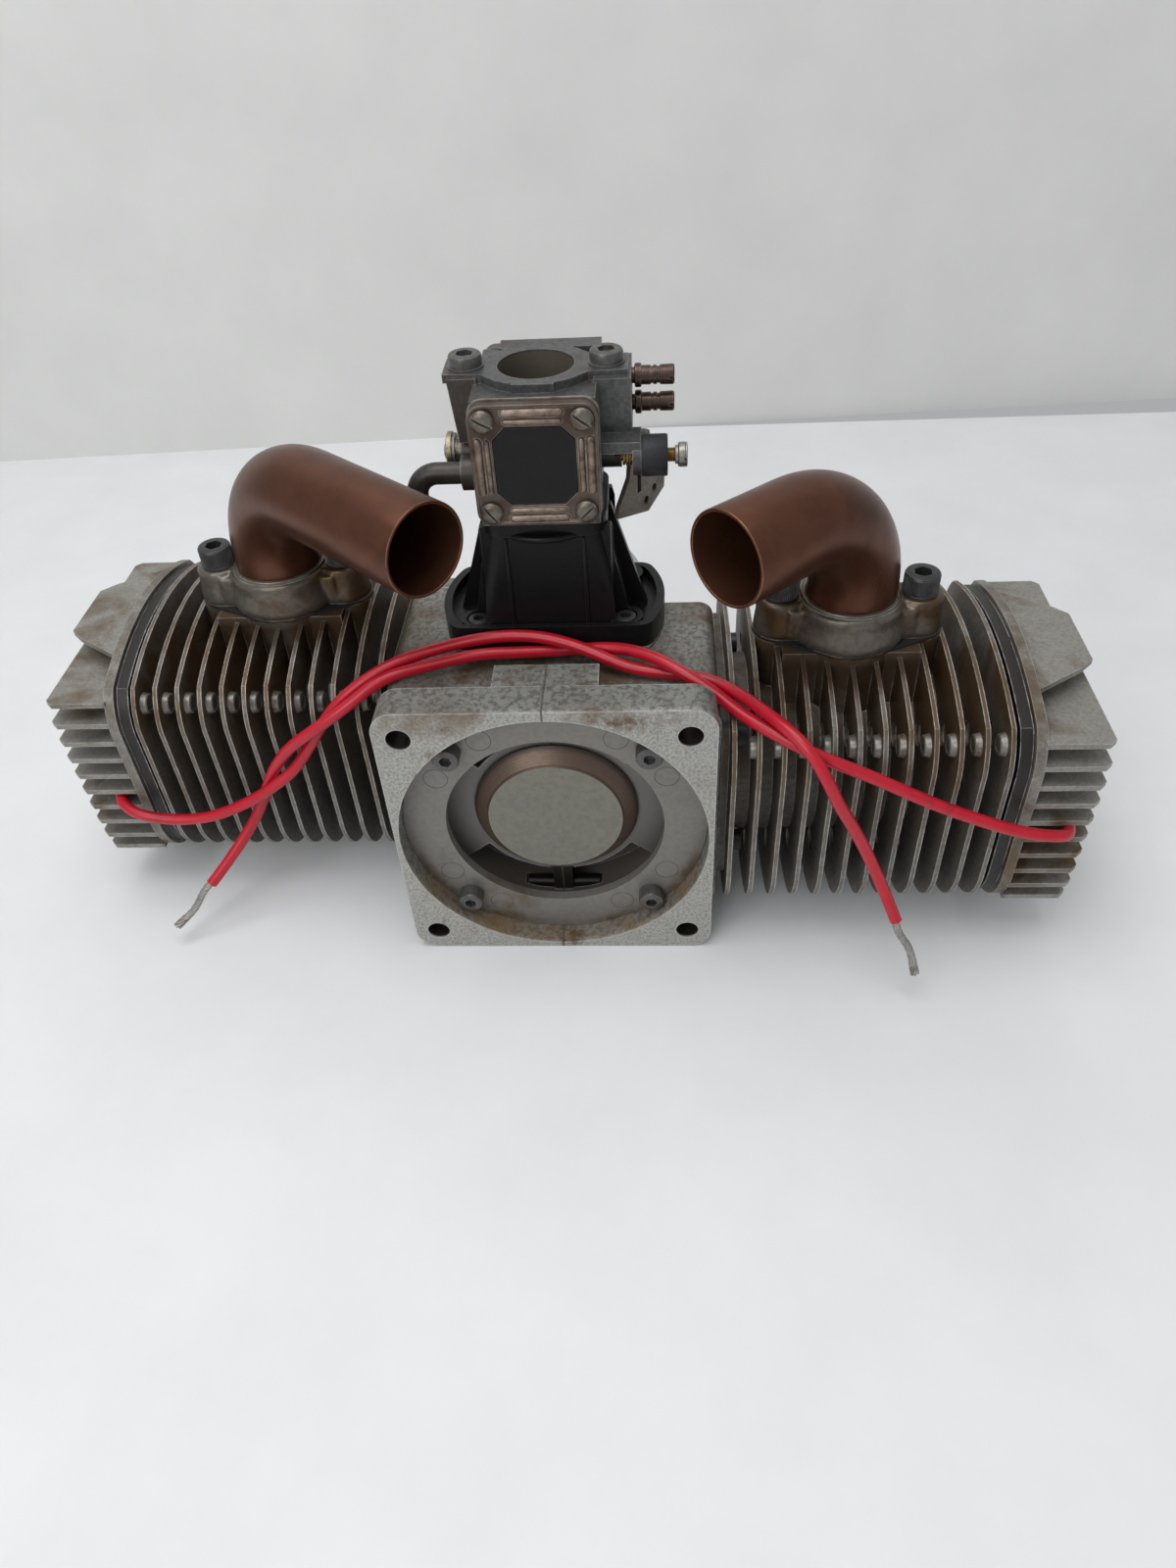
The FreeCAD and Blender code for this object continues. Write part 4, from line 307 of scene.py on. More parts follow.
                  ring=(("Z", (0.0, carbAxis)), (-1, 13.4, 0.1)))]},
    "carb_brown": {
        "clean": (0.1, 0.074, 0.057), "dark": (0.048, 0.034, 0.026), "grime": (0.05, 0.023, 0.014),
        "wornAndGlint": (0.42, 0.37, 0.31), "metal": 0.4, "rough": (0.28, 0.42), "grain": 500.0, "bump": 0.06,
        "dirt": 60.0, "cover": 0.6, "edge": 0.0006, "wearAndGlint": 0.8,
        "stainsAndShade": [
            smearAndShade((0.36, 0.27, 0.205), 0.75, Y=(46.0, 47.75, 0.12), patch=(210.0, 0.36, 0.6))]},
    "worn_steel": {
        "clean": (0.2, 0.178, 0.15), "dark": (0.09, 0.076, 0.06), "grime": (0.09, 0.055, 0.03), "metal": 0.7,
        "rough": (0.3, 0.46), "speckle": 0.5, "bump": 0.05, "dirt": 80.0, "cover": 0.5, "wearAndGlint": 0.6},
    "brass": {
        "clean": (0.42, 0.3, 0.13), "dark": (0.28, 0.19, 0.08), "grime": (0.12, 0.08, 0.03),
        "wornAndGlint": (0.65, 0.55, 0.32), "metal": 0.95, "rough": (0.25, 0.4), "dirt": 80.0, "cover": 0.4},
    "red_insulation": {
        "clean": (0.5, 0.006, 0.022), "dark": (0.37, 0.003, 0.014), "grime": (0.24, 0.006, 0.012),
        "metal": 0.0, "rough": (0.27, 0.38), "grain": 160.0, "dirt": 60.0, "cover": 0.25, "wearAndGlint": 0.0},
    "tinned_wire": {
        "clean": (0.42, 0.4, 0.37), "dark": (0.2, 0.19, 0.17), "wornAndGlint": grey(0.6), "speckle": 0.6,
        "bump": 0.05, "dirt": 120.0, "cover": 0.4, "edge": 0.0002},
    "burnt_oil": {
        "clean": (0.022, 0.015, 0.01), "dark": (0.01, 0.008, 0.006), "grime": (0.075, 0.038, 0.014),
        "metal": 0.0, "rough": (0.22, 0.5), "grain": 500.0, "bump": 0.3, "dirt": 160.0, "cover": 0.5,
        "wearAndGlint": 0.0},
    "milled_pad": {
        "clean": (0.235, 0.225, 0.205), "dark": (0.115, 0.105, 0.09), "wornAndGlint": (0.6, 0.59, 0.56), "metal": 0.5,
        "rough": (0.26, 0.4), "dirt": 150.0, "cover": 0.5, "edge": 0.0004, "wearAndGlint": 0.9},
    "pin_mark": {
        "clean": (0.085, 0.08, 0.072), "dark": (0.06, 0.056, 0.05), "metal": 0.2, "wearAndGlint": 0.0},
    "diaphragm_sheet": {
        "clean": (0.27, 0.25, 0.215), "dark": (0.16, 0.14, 0.115), "metal": 0.0, "rough": (0.5, 0.7),
        "dirt": 120.0, "cover": 0.5, "wearAndGlint": 0.0},
    "needle_brown": {
        "clean": (0.075, 0.045, 0.034), "dark": (0.032, 0.022, 0.018), "grime": (0.03, 0.018, 0.012),
        "wornAndGlint": (0.34, 0.27, 0.22), "metal": 0.6, "rough": (0.26, 0.4), "dirt": 140.0, "cover": 0.4,
        "wearAndGlint": 0.7},
    "soft_rubber": {
        "clean": (0.021, 0.022, 0.024), "dark": (0.013, 0.013, 0.014), "wornAndGlint": grey(0.06), "metal": 0.0,
        "rough": (0.42, 0.6), "gloss": 0.3},
    "socket_grey": {
        "clean": (0.112, 0.111, 0.108), "dark": grey(0.05), "grime": (0.05, 0.035, 0.022), "wornAndGlint": grey(0.34),
        "metal": 0.4, "rough": (0.28, 0.42), "dirt": 110.0, "cover": 0.5, "edge": 0.0004, "wearAndGlint": 0.6},
    "dull_steel": {
        "clean": (0.36, 0.345, 0.31), "dark": (0.17, 0.16, 0.135), "grime": (0.12, 0.09, 0.05),
        "wornAndGlint": (0.62, 0.6, 0.56), "metal": 0.75, "rough": (0.3, 0.44), "speckle": 0.6, "dirt": 150.0,
        "cover": 0.45},
    "dull_brass": {
        "clean": (0.36, 0.32, 0.22), "dark": (0.17, 0.14, 0.085), "grime": (0.1, 0.07, 0.03),
        "wornAndGlint": (0.62, 0.58, 0.46), "rough": (0.24, 0.4), "speckle": 0.6, "dirt": 120.0, "cover": 0.5},
}


def mixed(tree, share, first, second):
    node = put(tree, "ShaderNodeMix", data_type="RGBA")
    feed(tree, node.inputs[0], share)
    for socket, value in ((node.inputs[6], first), (node.inputs[7], second)):
        feed(tree, socket, value if isinstance(value, bpy.types.NodeSocket) else (*value, 1.0))
    return node.outputs[2]


def placed(tree, group, **values):
    node = put(tree, "ShaderNodeGroup", node_tree=group)
    for label, value in values.items():
        feed(tree, node.inputs[label], value)
    return node


def between(tree, value, low, high, soft):
    # one between two places in millimetres, nought outside them
    rise = remap(tree, value, (low - soft) * mm, (low + soft) * mm)
    fall = remap(tree, value, (high - soft) * mm, (high + soft) * mm, 1.0, 0.0)
    return sums(tree, "MULTIPLY", rise, fall)


def roundAxis(tree, spots, axis, middle):
    # distance from an axis through a point of the other two coordinates
    others = [letter for letter in "XYZ" if letter != axis]
    squares = []
    for letter, centre in zip(others, middle):
        away = sums(tree, "SUBTRACT", spots.outputs[letter], centre * mm)
        squares.append(sums(tree, "MULTIPLY", away, away))
    return sums(tree, "SQRT", sums(tree, "ADD", *squares))


def overlayMask(tree, overlay):
    spots = put(tree, "ShaderNodeSeparateXYZ")
    feed(tree, spots.inputs[0], objectPlace(tree))
    mask = overlay["amount"]
    for letter, limits in overlay["limits"].items():
        value = sums(tree, "ABSOLUTE", spots.outputs["X"]) if letter == "mirrorX" else spots.outputs[letter]
        mask = sums(tree, "MULTIPLY", mask, between(tree, value, *limits))
    if overlay["ring"]:
        (axis, middle), limits = overlay["ring"]
        reach = roundAxis(tree, spots, axis, middle)
        mask = sums(tree, "MULTIPLY", mask, between(tree, reach, *limits))
    if overlay["patch"]:
        scale, low, high = overlay["patch"]
        cloud = noise(tree, objectPlace(tree), scale, 6.0, 0.66, 0.3)
        mask = sums(tree, "MULTIPLY", mask, remap(tree, cloud, low, high))
    return mask


def makeFinish(name):
    looks = {**usual, **finishes[name]}
    material = bpy.data.materials.new(name)
    material.use_nodes = True
    tree = material.node_tree
    shader = tree.nodes["Principled BSDF"]
    grain = placed(tree, castGrain, Scale=looks["grain"], Speckle=looks["speckle"])
    dirt = placed(tree, grime, Scale=looks["dirt"], Cover=looks["cover"],
                  Low=looks["low"], High=looks["high"])
    colour = mixed(tree, grain.outputs["Shade"], looks["clean"], looks["dark"])
    colour = mixed(tree, dirt.outputs["Mask"], colour, looks["grime"])
    for overlay in looks["stainsAndShade"]:
        if not overlay["over"]:
            colour = mixed(tree, overlayMask(tree, overlay), colour, overlay["colour"])
    # rubbed edges with painted highlight, in the lighter edge colour
    if looks["wearAndGlint"]:
        wornAndGlint = placed(tree, edgeWearAndGlint, Radius=looks["edge"], Amount=looks["wearAndGlint"])
        colour = mixed(tree, wornAndGlint.outputs["Mask"], colour, looks["wornAndGlint"])
    for overlay in looks["stainsAndShade"]:
        if overlay["over"]:
            colour = mixed(tree, overlayMask(tree, overlay), colour, overlay["colour"])
    feed(tree, shader.inputs["Base Color"], colour)
    feed(tree, shader.inputs["Roughness"], remap(tree, grain.outputs["Height"], 0.4, 1.1, *looks["rough"]))
    shader.inputs["Metallic"].default_value = looks["metal"]
    shader.inputs["Specular IOR Level"].default_value = looks["gloss"]
    height = grain.outputs["Height"]
    if "rings" in looks:
        rings = placed(tree, latheRings, Pitch=looks["rings"])
        height = sums(tree, "MULTIPLY_ADD", rings.outputs["Height"], 2.0, height)
    relief = put(tree, "ShaderNodeBump")
    relief.inputs["Strength"].default_value = 0.8
    relief.inputs["Distance"].default_value = looks["bump"] * mm
    feed(tree, relief.inputs["Height"], height)
    feed(tree, shader.inputs["Normal"], relief.outputs["Normal"])
    return material


finished = {name: makeFinish(name) for name in finishes}
for part in frame["record"]["subparts"]:
    node = frame["nodes"][part["node"]]
    node.data.materials.clear()
    node.data.materials.append(finished[part["material_slot"]])
print("finishes made")


# modelling helpers: pieces are made upright at the origin, in millimetres, then seated in place
facings = {
    "up": Matrix.Identity(4),
    "front": Matrix.Rotation(math.pi / 2, 4, "X"),
    "rear": Matrix.Rotation(-math.pi / 2, 4, "X"),
    "right": Matrix.Rotation(math.pi / 2, 4, "Y"),
    "left": Matrix.Rotation(-math.pi / 2, 4, "Y"),
}


def alone(piece):
    bpy.ops.object.select_all(action="DESELECT")
    piece.select_set(True)
    bpy.context.view_layer.objects.active = piece
    return piece


def seated(piece, spot, facing="up", spin=0.0):
    piece.matrix_world = (Matrix.Translation([value * mm for value in spot]) @ facings[facing]
                          @ Matrix.Rotation(math.radians(spin), 4, "Z"))
    alone(piece)
    bpy.ops.object.transform_apply(location=True, rotation=True, scale=True)
    return piece


def another(piece, name, spot, facing="up", spin=0.0):
    twin = piece.copy()
    twin.data = piece.data.copy()
    twin.name = name
    bpy.context.scene.collection.objects.link(twin)
    return seated(twin, spot, facing, spin)


def block(name, size, spot):
    bpy.ops.object.select_all(action="DESELECT")
    bpy.ops.mesh.primitive_cube_add(size=1.0)
    piece = bpy.context.active_object
    piece.name = name
    piece.scale = [value * mm for value in size]
    bpy.ops.object.transform_apply(location=True, rotation=True, scale=True)
    return seated(piece, spot)


def lathed(name, stations, sides=48):
    # grown upwards from its first circle: each station is a height and a radius
    height, radius = stations[0]
    bpy.ops.object.select_all(action="DESELECT")
    bpy.ops.mesh.primitive_circle_add(vertices=sides, radius=radius * mm, fill_type="NGON",
                                      location=(0, 0, height * mm))
    piece = bpy.context.active_object
    piece.name = name
    bpy.ops.object.mode_set(mode="EDIT")
    bpy.ops.mesh.select_all(action="SELECT")
    for nextHeight, nextRadius in stations[1:]:
        bpy.ops.mesh.extrude_region_move(TRANSFORM_OT_translate={"value": (0, 0, (nextHeight - height) * mm)})
        share = nextRadius / radius
        bpy.ops.transform.resize(value=(share, share, 1.0), center_override=(0, 0, nextHeight * mm))
        height, radius = nextHeight, nextRadius
    bpy.ops.mesh.select_all(action="SELECT")
    bpy.ops.mesh.normals_make_consistent(inside=False)
    bpy.ops.object.mode_set(mode="OBJECT")
    bpy.ops.object.transform_apply(location=True, rotation=True, scale=True)
    return piece


def changed(piece, kind, **settings):
    # one modifier, set and applied
    alone(piece)
    change = piece.modifiers.new(kind.lower(), kind)
    for label, value in settings.items():
        setattr(change, label, value)
    bpy.ops.object.modifier_apply(modifier=change.name)
    return piece


def eased(piece, width, segments=2, angle=35):
    return changed(piece, "BEVEL", width=width * mm, segments=segments, limit_method="ANGLE",
                   angle_limit=math.radians(angle))


def carved(piece, tools, operation="DIFFERENCE"):
    for tool in tools:
        changed(piece, "BOOLEAN", operation=operation, object=tool, solver="EXACT")
        bpy.data.objects.remove(tool)
    return piece


def choose(piece, test):
    # leaves the piece in edit mode with the chosen faces selected
    alone(piece)
    bpy.ops.object.mode_set(mode="EDIT")
    bpy.ops.mesh.select_mode(type="FACE")
    bpy.ops.mesh.select_all(action="DESELECT")
    bpy.ops.object.mode_set(mode="OBJECT")
    for face in piece.data.polygons:
        face.select = test(face.center / mm, face.normal)
    bpy.ops.object.mode_set(mode="EDIT")


def fitted(piece, name, body, slot, nodes=(), finish=None):
    # the finished piece rides its body, stands for its CAD nodes and takes its finish
    alone(piece)
    piece.name = name
    bpy.ops.object.shade_smooth_by_angle(angle=math.radians(32))
    piece.data.materials.clear()
    piece.data.materials.append(finished[finish or slot])
    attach(piece, body)
    if nodes:
        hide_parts(*nodes)
    return piece


# the two red leads and their bare ends
leads = {
    "radius": 2.3 * mm,
    "strandRadius": 0.62 * mm,
    "twistRadius": 0.95 * mm,
    "strands": 6,
    "tipLength": 26.0 * mm,
    "tipSteps": 14,
    "tuckedIn": 2.0 * mm,
    "twistPitch": 17.0 * mm,
    "opening": 0.35,
    "openingFrom": 10,
    "bend": 0.9 * mm,
    "sway": 2.4 * math.pi,
    "realLength": 0.424,
    "leadLeft": [
        (-186, 47, -7.5), (-185.5, 36, -7.5), (-177, 28.5, -10), (-163, 27, -12.5),
        (-147, 26.5, -11.5), (-134, 26, -6.5), (-122, 26, 0), (-112.5, 26.5, 6.5), (-104, 28.5, 12.5),
        (-97.5, 30.5, 20.5), (-91, 31.8, 30), (-84, 32.6, 39.5), (-75, 35, 47.5), (-61, 41, 54),
        (-44, 46.5, 56.8), (-26, 49, 60), (-7, 49.4, 60.7), (11, 44, 59), (29, 36.5, 53.5),
        (45, 34, 52.7), (58, 31, 52.7), (68, 22.6, 52.6), (77, 11, 52.9), (84.5, 0.7, 52.6),
        (92, -6.8, 48), (97.5, -10, 38.5), (102.5, -10.4, 27.5), (108.8, -9.6, 16), (115, -9, 3),
        (120, -10, -8), (124.5, -12.5, -18), (128.5, -16, -27),
    ],
    "leadRight": [
        (192, 13, 1), (191.5, 2, 1), (185, -3.5, 4.5), (171, -5, 8), (156, -5.2, 14), (137, -5, 22.5),
        (115, -4, 34.5), (103, -3.3, 40), (93, -1.5, 44), (84, 2.5, 46.9), (76, 8, 48.4),
        (68, 15, 49.8), (59, 23.2, 53.3), (48, 29.5, 57.3), (37, 38, 58.7), (24, 45.2, 57.3),
        (8, 48.4, 54.2), (-9, 46, 55), (-27, 43.7, 56.5), (-45, 40.1, 54.2), (-63, 35, 52.4),
        (-76, 28.5, 44.5), (-87, 26, 37.5), (-95, 26.5, 31.5), (-103, 28, 24.5), (-110.5, 30, 15),
        (-116, 31.6, 6), (-120.5, 31, -3.5), (-125.5, 29, -12.5), (-131.5, 25, -20.5),
        (-139, 19.5, -29), (-147, 14, -37),
    ],
}


def freshCurve(name, points, radius):
    data = bpy.data.curves.new(name, "CURVE")
    data.dimensions = "3D"
    data.bevel_depth = 1.0
    data.bevel_resolution = 5
    data.use_fill_caps = True
    data.resolution_u = 10
    spline = data.splines.new("NURBS")
    spline.points.add(len(points) - 1)
    for knot, spot in zip(spline.points, points):
        knot.co = (*spot, 1.0)
        knot.radius = radius
    spline.order_u = 3
    spline.use_endpoint_u = True
    piece = bpy.data.objects.new(name, data)
    bpy.context.scene.collection.objects.link(piece)
    return piece


def asMesh(piece):
    alone(piece)
    bpy.ops.object.convert(target="MESH")
    bpy.ops.object.transform_apply(location=True, rotation=True, scale=True)
    bpy.ops.object.shade_smooth_by_angle(angle=math.radians(35))
    return bpy.context.view_layer.objects.active


def joined(name, pieces):
    bpy.ops.object.select_all(action="DESELECT")
    for piece in pieces:
        piece.select_set(True)
    bpy.context.view_layer.objects.active = pieces[0]
    bpy.ops.object.join()
    piece = bpy.context.view_layer.objects.active
    piece.name = name
    return piece


def twistedEnd(name, points):
    # tinned strands, wound round each other and opened a little at the end
    start = Vector(points[-1])
    heading = (start - Vector(points[-2])).normalized()
    sideways = heading.orthogonal().normalized()
    upwards = heading.cross(sideways)
    strands = []
    for strand in range(leads["strands"]):
        begin = 2 * math.pi * strand / leads["strands"]
        path = []
        for step in range(leads["tipSteps"] + 1):
            share = step / leads["tipSteps"]
            along = leads["tipLength"] * share - leads["tuckedIn"]
            angle = begin + 2 * math.pi * along / leads["twistPitch"]
            opened = max(0, step - leads["openingFrom"]) / (leads["tipSteps"] - leads["openingFrom"])
            reach = leads["twistRadius"] * (1.0 + leads["opening"] * opened)
            bend = leads["bend"] * math.sin(leads["sway"] * share)
            path.append(start + heading * along + sideways * (math.cos(angle) * reach + bend)
                        + upwards * math.sin(angle) * reach)
        strands.append(asMesh(freshCurve(name + str(strand), path, leads["strandRadius"])))
    return joined(name, strands)


for name, node in (("leadLeft", "lead_left"), ("leadRight", "lead_right")):
    points = [tuple(value * mm for value in spot) for spot in leads[name]]
    lead = freshCurve(name, points, leads["radius"])
    bare = twistedEnd(name + "End", points)
    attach(lead, "engine")
    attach(bare, "engine")
    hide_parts(node)
    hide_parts("lead_ends")
    lead.data.materials.append(finished["red_insulation"])
    bare.data.materials.clear()
    bare.data.materials.append(finished["tinned_wire"])
print("leads laid")


# exhaust pipes: one round tube each, up out of the flange and round to its mouth
pipes = {
    "radius": 16.15, "wall": 1.2, "bend": 35.0, "level": 110.0, "seat": 61.0, "heading": 40.3,
    "run": {"Left": 63.0, "Right": 30.0}, "edge": 0.35, "sides": 72, "steps": 30,
}


def bentPipe(ending):
    side, axis = cylinders[ending]
    lean = math.radians(pipes["heading"])
    ahead = Vector((-side * math.cos(lean), -math.sin(lean), 0.0))
    foot = Vector((side * portReach, axis, pipes["seat"])) * mm
    pivot = foot + ahead * pipes["bend"] * mm
    pivot.z = (pipes["level"] - pipes["bend"]) * mm
    hinge = Vector((0.0, 0.0, 1.0)).cross(ahead)
    bpy.ops.object.select_all(action="DESELECT")
    bpy.ops.mesh.primitive_circle_add(vertices=pipes["sides"], radius=pipes["radius"] * mm,
                                      fill_type="NOTHING", location=foot)
    piece = bpy.context.active_object
    bpy.ops.object.mode_set(mode="EDIT")
    bpy.ops.mesh.select_all(action="SELECT")
    bpy.ops.mesh.extrude_region_move(TRANSFORM_OT_translate={"value": (0, 0, pivot.z - foot.z)})
    bpy.ops.mesh.spin(steps=pipes["steps"], angle=-math.pi / 2, center=pivot, axis=hinge)
    bpy.ops.mesh.extrude_region_move(TRANSFORM_OT_translate={"value": ahead * pipes["run"][ending] * mm})
    bpy.ops.mesh.select_all(action="SELECT")
    bpy.ops.mesh.remove_doubles(threshold=0.00001)
    bpy.ops.mesh.normals_make_consistent(inside=False)
    bpy.ops.object.mode_set(mode="OBJECT")
    bpy.ops.object.transform_apply(location=True, rotation=True, scale=True)
    changed(piece, "SOLIDIFY", thickness=pipes["wall"] * mm, offset=0.0)
    eased(piece, pipes["edge"], 2, 50)
    return fitted(piece, "exhaustPipe" + ending, "engine", "copper_brown", ["exhaust_pipe_" + ending.lower()])


for ending in cylinders:
    bentPipe(ending)
print("exhaust pipes bent")


# screws with sockets, slots and knurled rims
def socketHead(name, radius, height, key, knurled=False, sides=48):
    head = lathed(name, [(0, radius - 0.3), (0.3, radius), (height - 0.9, radius),
                         (height - 0.25, radius - 0.35), (height, radius - 0.8)], sides)
    if knurled:
        choose(head, lambda middle, normal: abs(normal.z) < 0.2 and 0.3 < middle.z < height - 0.9)
        bpy.ops.mesh.inset(thickness=0.13 * mm, depth=-0.22 * mm, use_individual=True)
        bpy.ops.object.mode_set(mode="OBJECT")
    bpy.ops.object.select_all(action="DESELECT")
    bpy.ops.mesh.primitive_cylinder_add(vertices=6, radius=key * mm, depth=height * mm,
                                        location=(0, 0, height * 1.05 * mm))
    return carved(head, [bpy.context.active_object])


def withShank(head, radius, length):
    shank = lathed("shank", [(-length, radius - 0.5), (0.5 - length, radius), (0.2, radius)], 24)
    return joined(head.name, [head, shank])


screwSets = {
    "exhaustScrews": {
        "head": {"radius": 6.5, "height": 8.0, "key": 3.5, "knurled": True, "sides": 56},
        "shank": {"radius": 3.35, "length": 29.5},
        "node": "exhaust_flange_screws", "facing": "up", "finish": "black_steel",
        "spots": [(side * portReach + shift, axis, 70.5) for side, axis in cylinders.values()
                  for shift in (-earReach, earReach)]},
    "ringScrews": {
        "head": {"radius": 5.0, "height": 6.0, "key": 2.45, "sides": 40},
        "shank": {"radius": 2.4, "length": 12.5},
        "node": "ring_screws", "facing": "front", "finish": "socket_grey",
        "spots": [(x, 9.0, z) for x in (-36.6, 36.6) for z in (-38.0, 38.0)]},
    "carburettorBolts": {
        "head": {"radius": 5.7, "height": 3.7, "key": 3.1, "sides": 44},
        "shank": {"radius": 2.95, "length": 12.0},
        "node": "carburettor_bolts", "facing": "up", "finish": "socket_grey",
        "washer": {"stations": [(0, 5.9), (0.1, 6.2), (0.6, 6.2), (0.7, 5.9)], "level": 151.95},
        "spots": [(x, carbAxis, 152.6) for x in (-carbBoltReach, carbBoltReach)]},
    "intakeScrews": {
        "head": {"radius": 4.25, "height": 5.0, "key": 2.3, "sides": 36},
        "shank": {"radius": 2.45, "length": 13.0},
        "node": "intake_screws", "facing": "up", "finish": "black_steel",
        "spots": [(x, carbAxis + y, 57.0) for x in (-28.0, 28.0) for y in (-15.5, 15.5)]},
}
for name, screws in screwSets.items():
    first = withShank(socketHead(name, **screws["head"]), **screws["shank"])
    copies = [another(first, name + str(index), spot, screws["facing"], 17.0 * index)
              for index, spot in enumerate(screws["spots"])]
    bpy.data.objects.remove(first)
    if "washer" in screws:
        washer = lathed("washer", screws["washer"]["stations"])
        copies += [another(washer, "washer" + str(index), (x, y, screws["washer"]["level"]))
                   for index, (x, y, z) in enumerate(screws["spots"])]
        bpy.data.objects.remove(washer)
    fitted(joined(name, copies), name, "engine", "black_steel", [screws["node"]], finish=screws["finish"])

slotted = {
    "stations": [(-8.0, 1.9), (0, 1.9), (0.0, 3.7), (0.2, 3.9), (1.1, 3.9), (1.8, 3.45), (2.25, 2.5),
                 (2.4, 0.8)],
    "slot": (9.0, 0.95, 2.4), "reach": 16.2, "rear": 102.0,
    "leans": {(-1, 1): -29, (1, 1): -36, (-1, -1): -52, (1, -1): 43},
}
pan = lathed("panHead", slotted["stations"])
carved(pan, [block("panSlot", slotted["slot"], (0, 0, 2.4))])
pans = []
for (side, level), lean in slotted["leans"].items():
    x, z = side * slotted["reach"], coverMiddle + level * slotted["reach"]
    pans.append(another(pan, "panFront", (x, coverFront, z), "front", lean))
    pans.append(another(pan, "panRear", (x, slotted["rear"], z), "rear", 2.0 * lean))
bpy.data.objects.remove(pan)
fitted(joined("coverScrews", pans), "coverScrews", "engine", "worn_steel", ["carburettor_cover_screws"])
print("screws set")


# exhaust flanges: a cast collar with two ears, softened where they meet, and a turned lip
flanges = {
    "bottom": 56.0,
    "bridge": (46.0, 20.0, 12.4),
    "collar": [(0, 21.0), (0.6, 21.9), (3.0, 22.0), (5.5, 21.2), (9.0, 20.3), (12.8, 20.2), (14.2, 19.4)],
    "ear": [(0, 9.4), (1.0, 9.9), (4.0, 9.6), (8.0, 9.1), (13.4, 9.0), (14.4, 8.5)],
    "lip": [(8.0, 18.4), (14.9, 18.4), (15.4, 18.1), (15.5, 17.7)],
    "bore": [(-2.0, 13.0), (5.0, 13.0), (5.0, 16.85), (30.0, 16.85)],
    "grain": 0.6,
}
casting = [lathed("collar", flanges["collar"], 64),
           block("bridge", flanges["bridge"], (0, 0, flanges["bridge"][2] / 2))]
ear = lathed("ear", flanges["ear"], 40)
casting += [another(ear, "ear", (side * earReach, 0, 0)) for side in (-1, 1)]
bpy.data.objects.remove(ear)
casting = joined("casting", casting)
changed(casting, "REMESH", mode="VOXEL", voxel_size=flanges["grain"] * mm)
changed(casting, "SMOOTH", factor=0.6, iterations=9)
changed(casting, "DECIMATE", ratio=0.45)
carved(casting, [lathed("bore", flanges["bore"], 64)])
lip = carved(lathed("lip", flanges["lip"], 72), [lathed("lipBore", flanges["bore"], 72)])
casting = joined("casting", [casting, lip])
for ending, (side, axis) in cylinders.items():
    name = "exhaustFlange" + ending
    spot = (side * portReach, axis, flanges["bottom"])
    fitted(another(casting, name, spot, "up", 0 if side < 0 else 180), name, "engine", "exhaust_casting",
           ["exhaust_flange_" + ending.lower()])
bpy.data.objects.remove(casting)

# burnt oil squeezed out under each flange
squeeze = {"radius": 20.6, "ear": 9.3, "level": 55.6, "steps": 72, "thick": 0.95, "lumps": 0.3}


def squeezePath(side, axis):
    path = []
    for step in range(squeeze["steps"]):
        angle = 2 * math.pi * step / squeeze["steps"]
        across, aside = math.cos(angle), math.sin(angle)
        offset = earReach * abs(across)
        inside = squeeze["ear"] ** 2 - (earReach * aside) ** 2
        reach = squeeze["radius"] if inside < 0 else max(squeeze["radius"], offset + math.sqrt(inside))
        path.append(((side * portReach + across * reach) * mm, (axis + aside * reach) * mm,
                     squeeze["level"] * mm))
    return path


for ending, (side, axis) in cylinders.items():
    path = squeezePath(side, axis)
    bead = freshCurve("squeeze" + ending, path + path[:2], squeeze["thick"] * mm)
    for index, knot in enumerate(bead.data.splines[0].points):
        lump = squeeze["lumps"] * math.sin(2.3 * index) * math.sin(0.9 * index + side)
        knot.radius = (squeeze["thick"] + lump) * mm
    fitted(asMesh(bead), "squeeze" + ending, "engine", "gasket_black", finish="burnt_oil")
print("exhaust flanges cast")


# turned pads on the cooling fins, near their front edges
pads = {"first": 74.8, "pitch": 8.8, "count": 11, "inset": 10.5, "half": 56.0, "level": 34.5,
        "waist": [(-0.4, 4.8), (0.4, 4.3), (1.9, 4.0), (2.3, 3.6), (2.3, 2.6), (2.1, 2.4)]}
post = lathed("post", pads["waist"], 28)
for ending, (side, axis) in cylinders.items():
    name = "finPads" + ending
    depth = axis - pads["half"] + pads["inset"]
    row = [another(post, name + str(index),
                   (side * (pads["first"] + index * pads["pitch"]), depth, pads["level"]),
                   "left" if side > 0 else "right")
           for index in range(pads["count"])]
    fitted(joined(name, row), name, "engine", "cylinder_alloy", finish="milled_pad")
bpy.data.objects.remove(post)

# the round marks that the mould's pins left on the ring plate
marks = {"radius": 49.5, "angles": (30, 60, 120, 150, 210, 240, 300, 330), "front": 9.0,
         "rim": [(-0.4, 4.68), (0.03, 4.68), (0.06, 4.6), (0.06, 4.45), (-0.05, 4.38), (-0.05, 3.0)]}
mark = lathed("mark", marks["rim"], 36)
ring = [another(mark, "mark" + str(angle),
                (marks["radius"] * math.cos(math.radians(angle)), marks["front"],
                 marks["radius"] * math.sin(math.radians(angle))), "front")
        for angle in marks["angles"]]
bpy.data.objects.remove(mark)
fitted(joined("pinMarks", ring), "pinMarks", "engine", "dark_ring", finish="pin_mark")
print("pads and marks added")


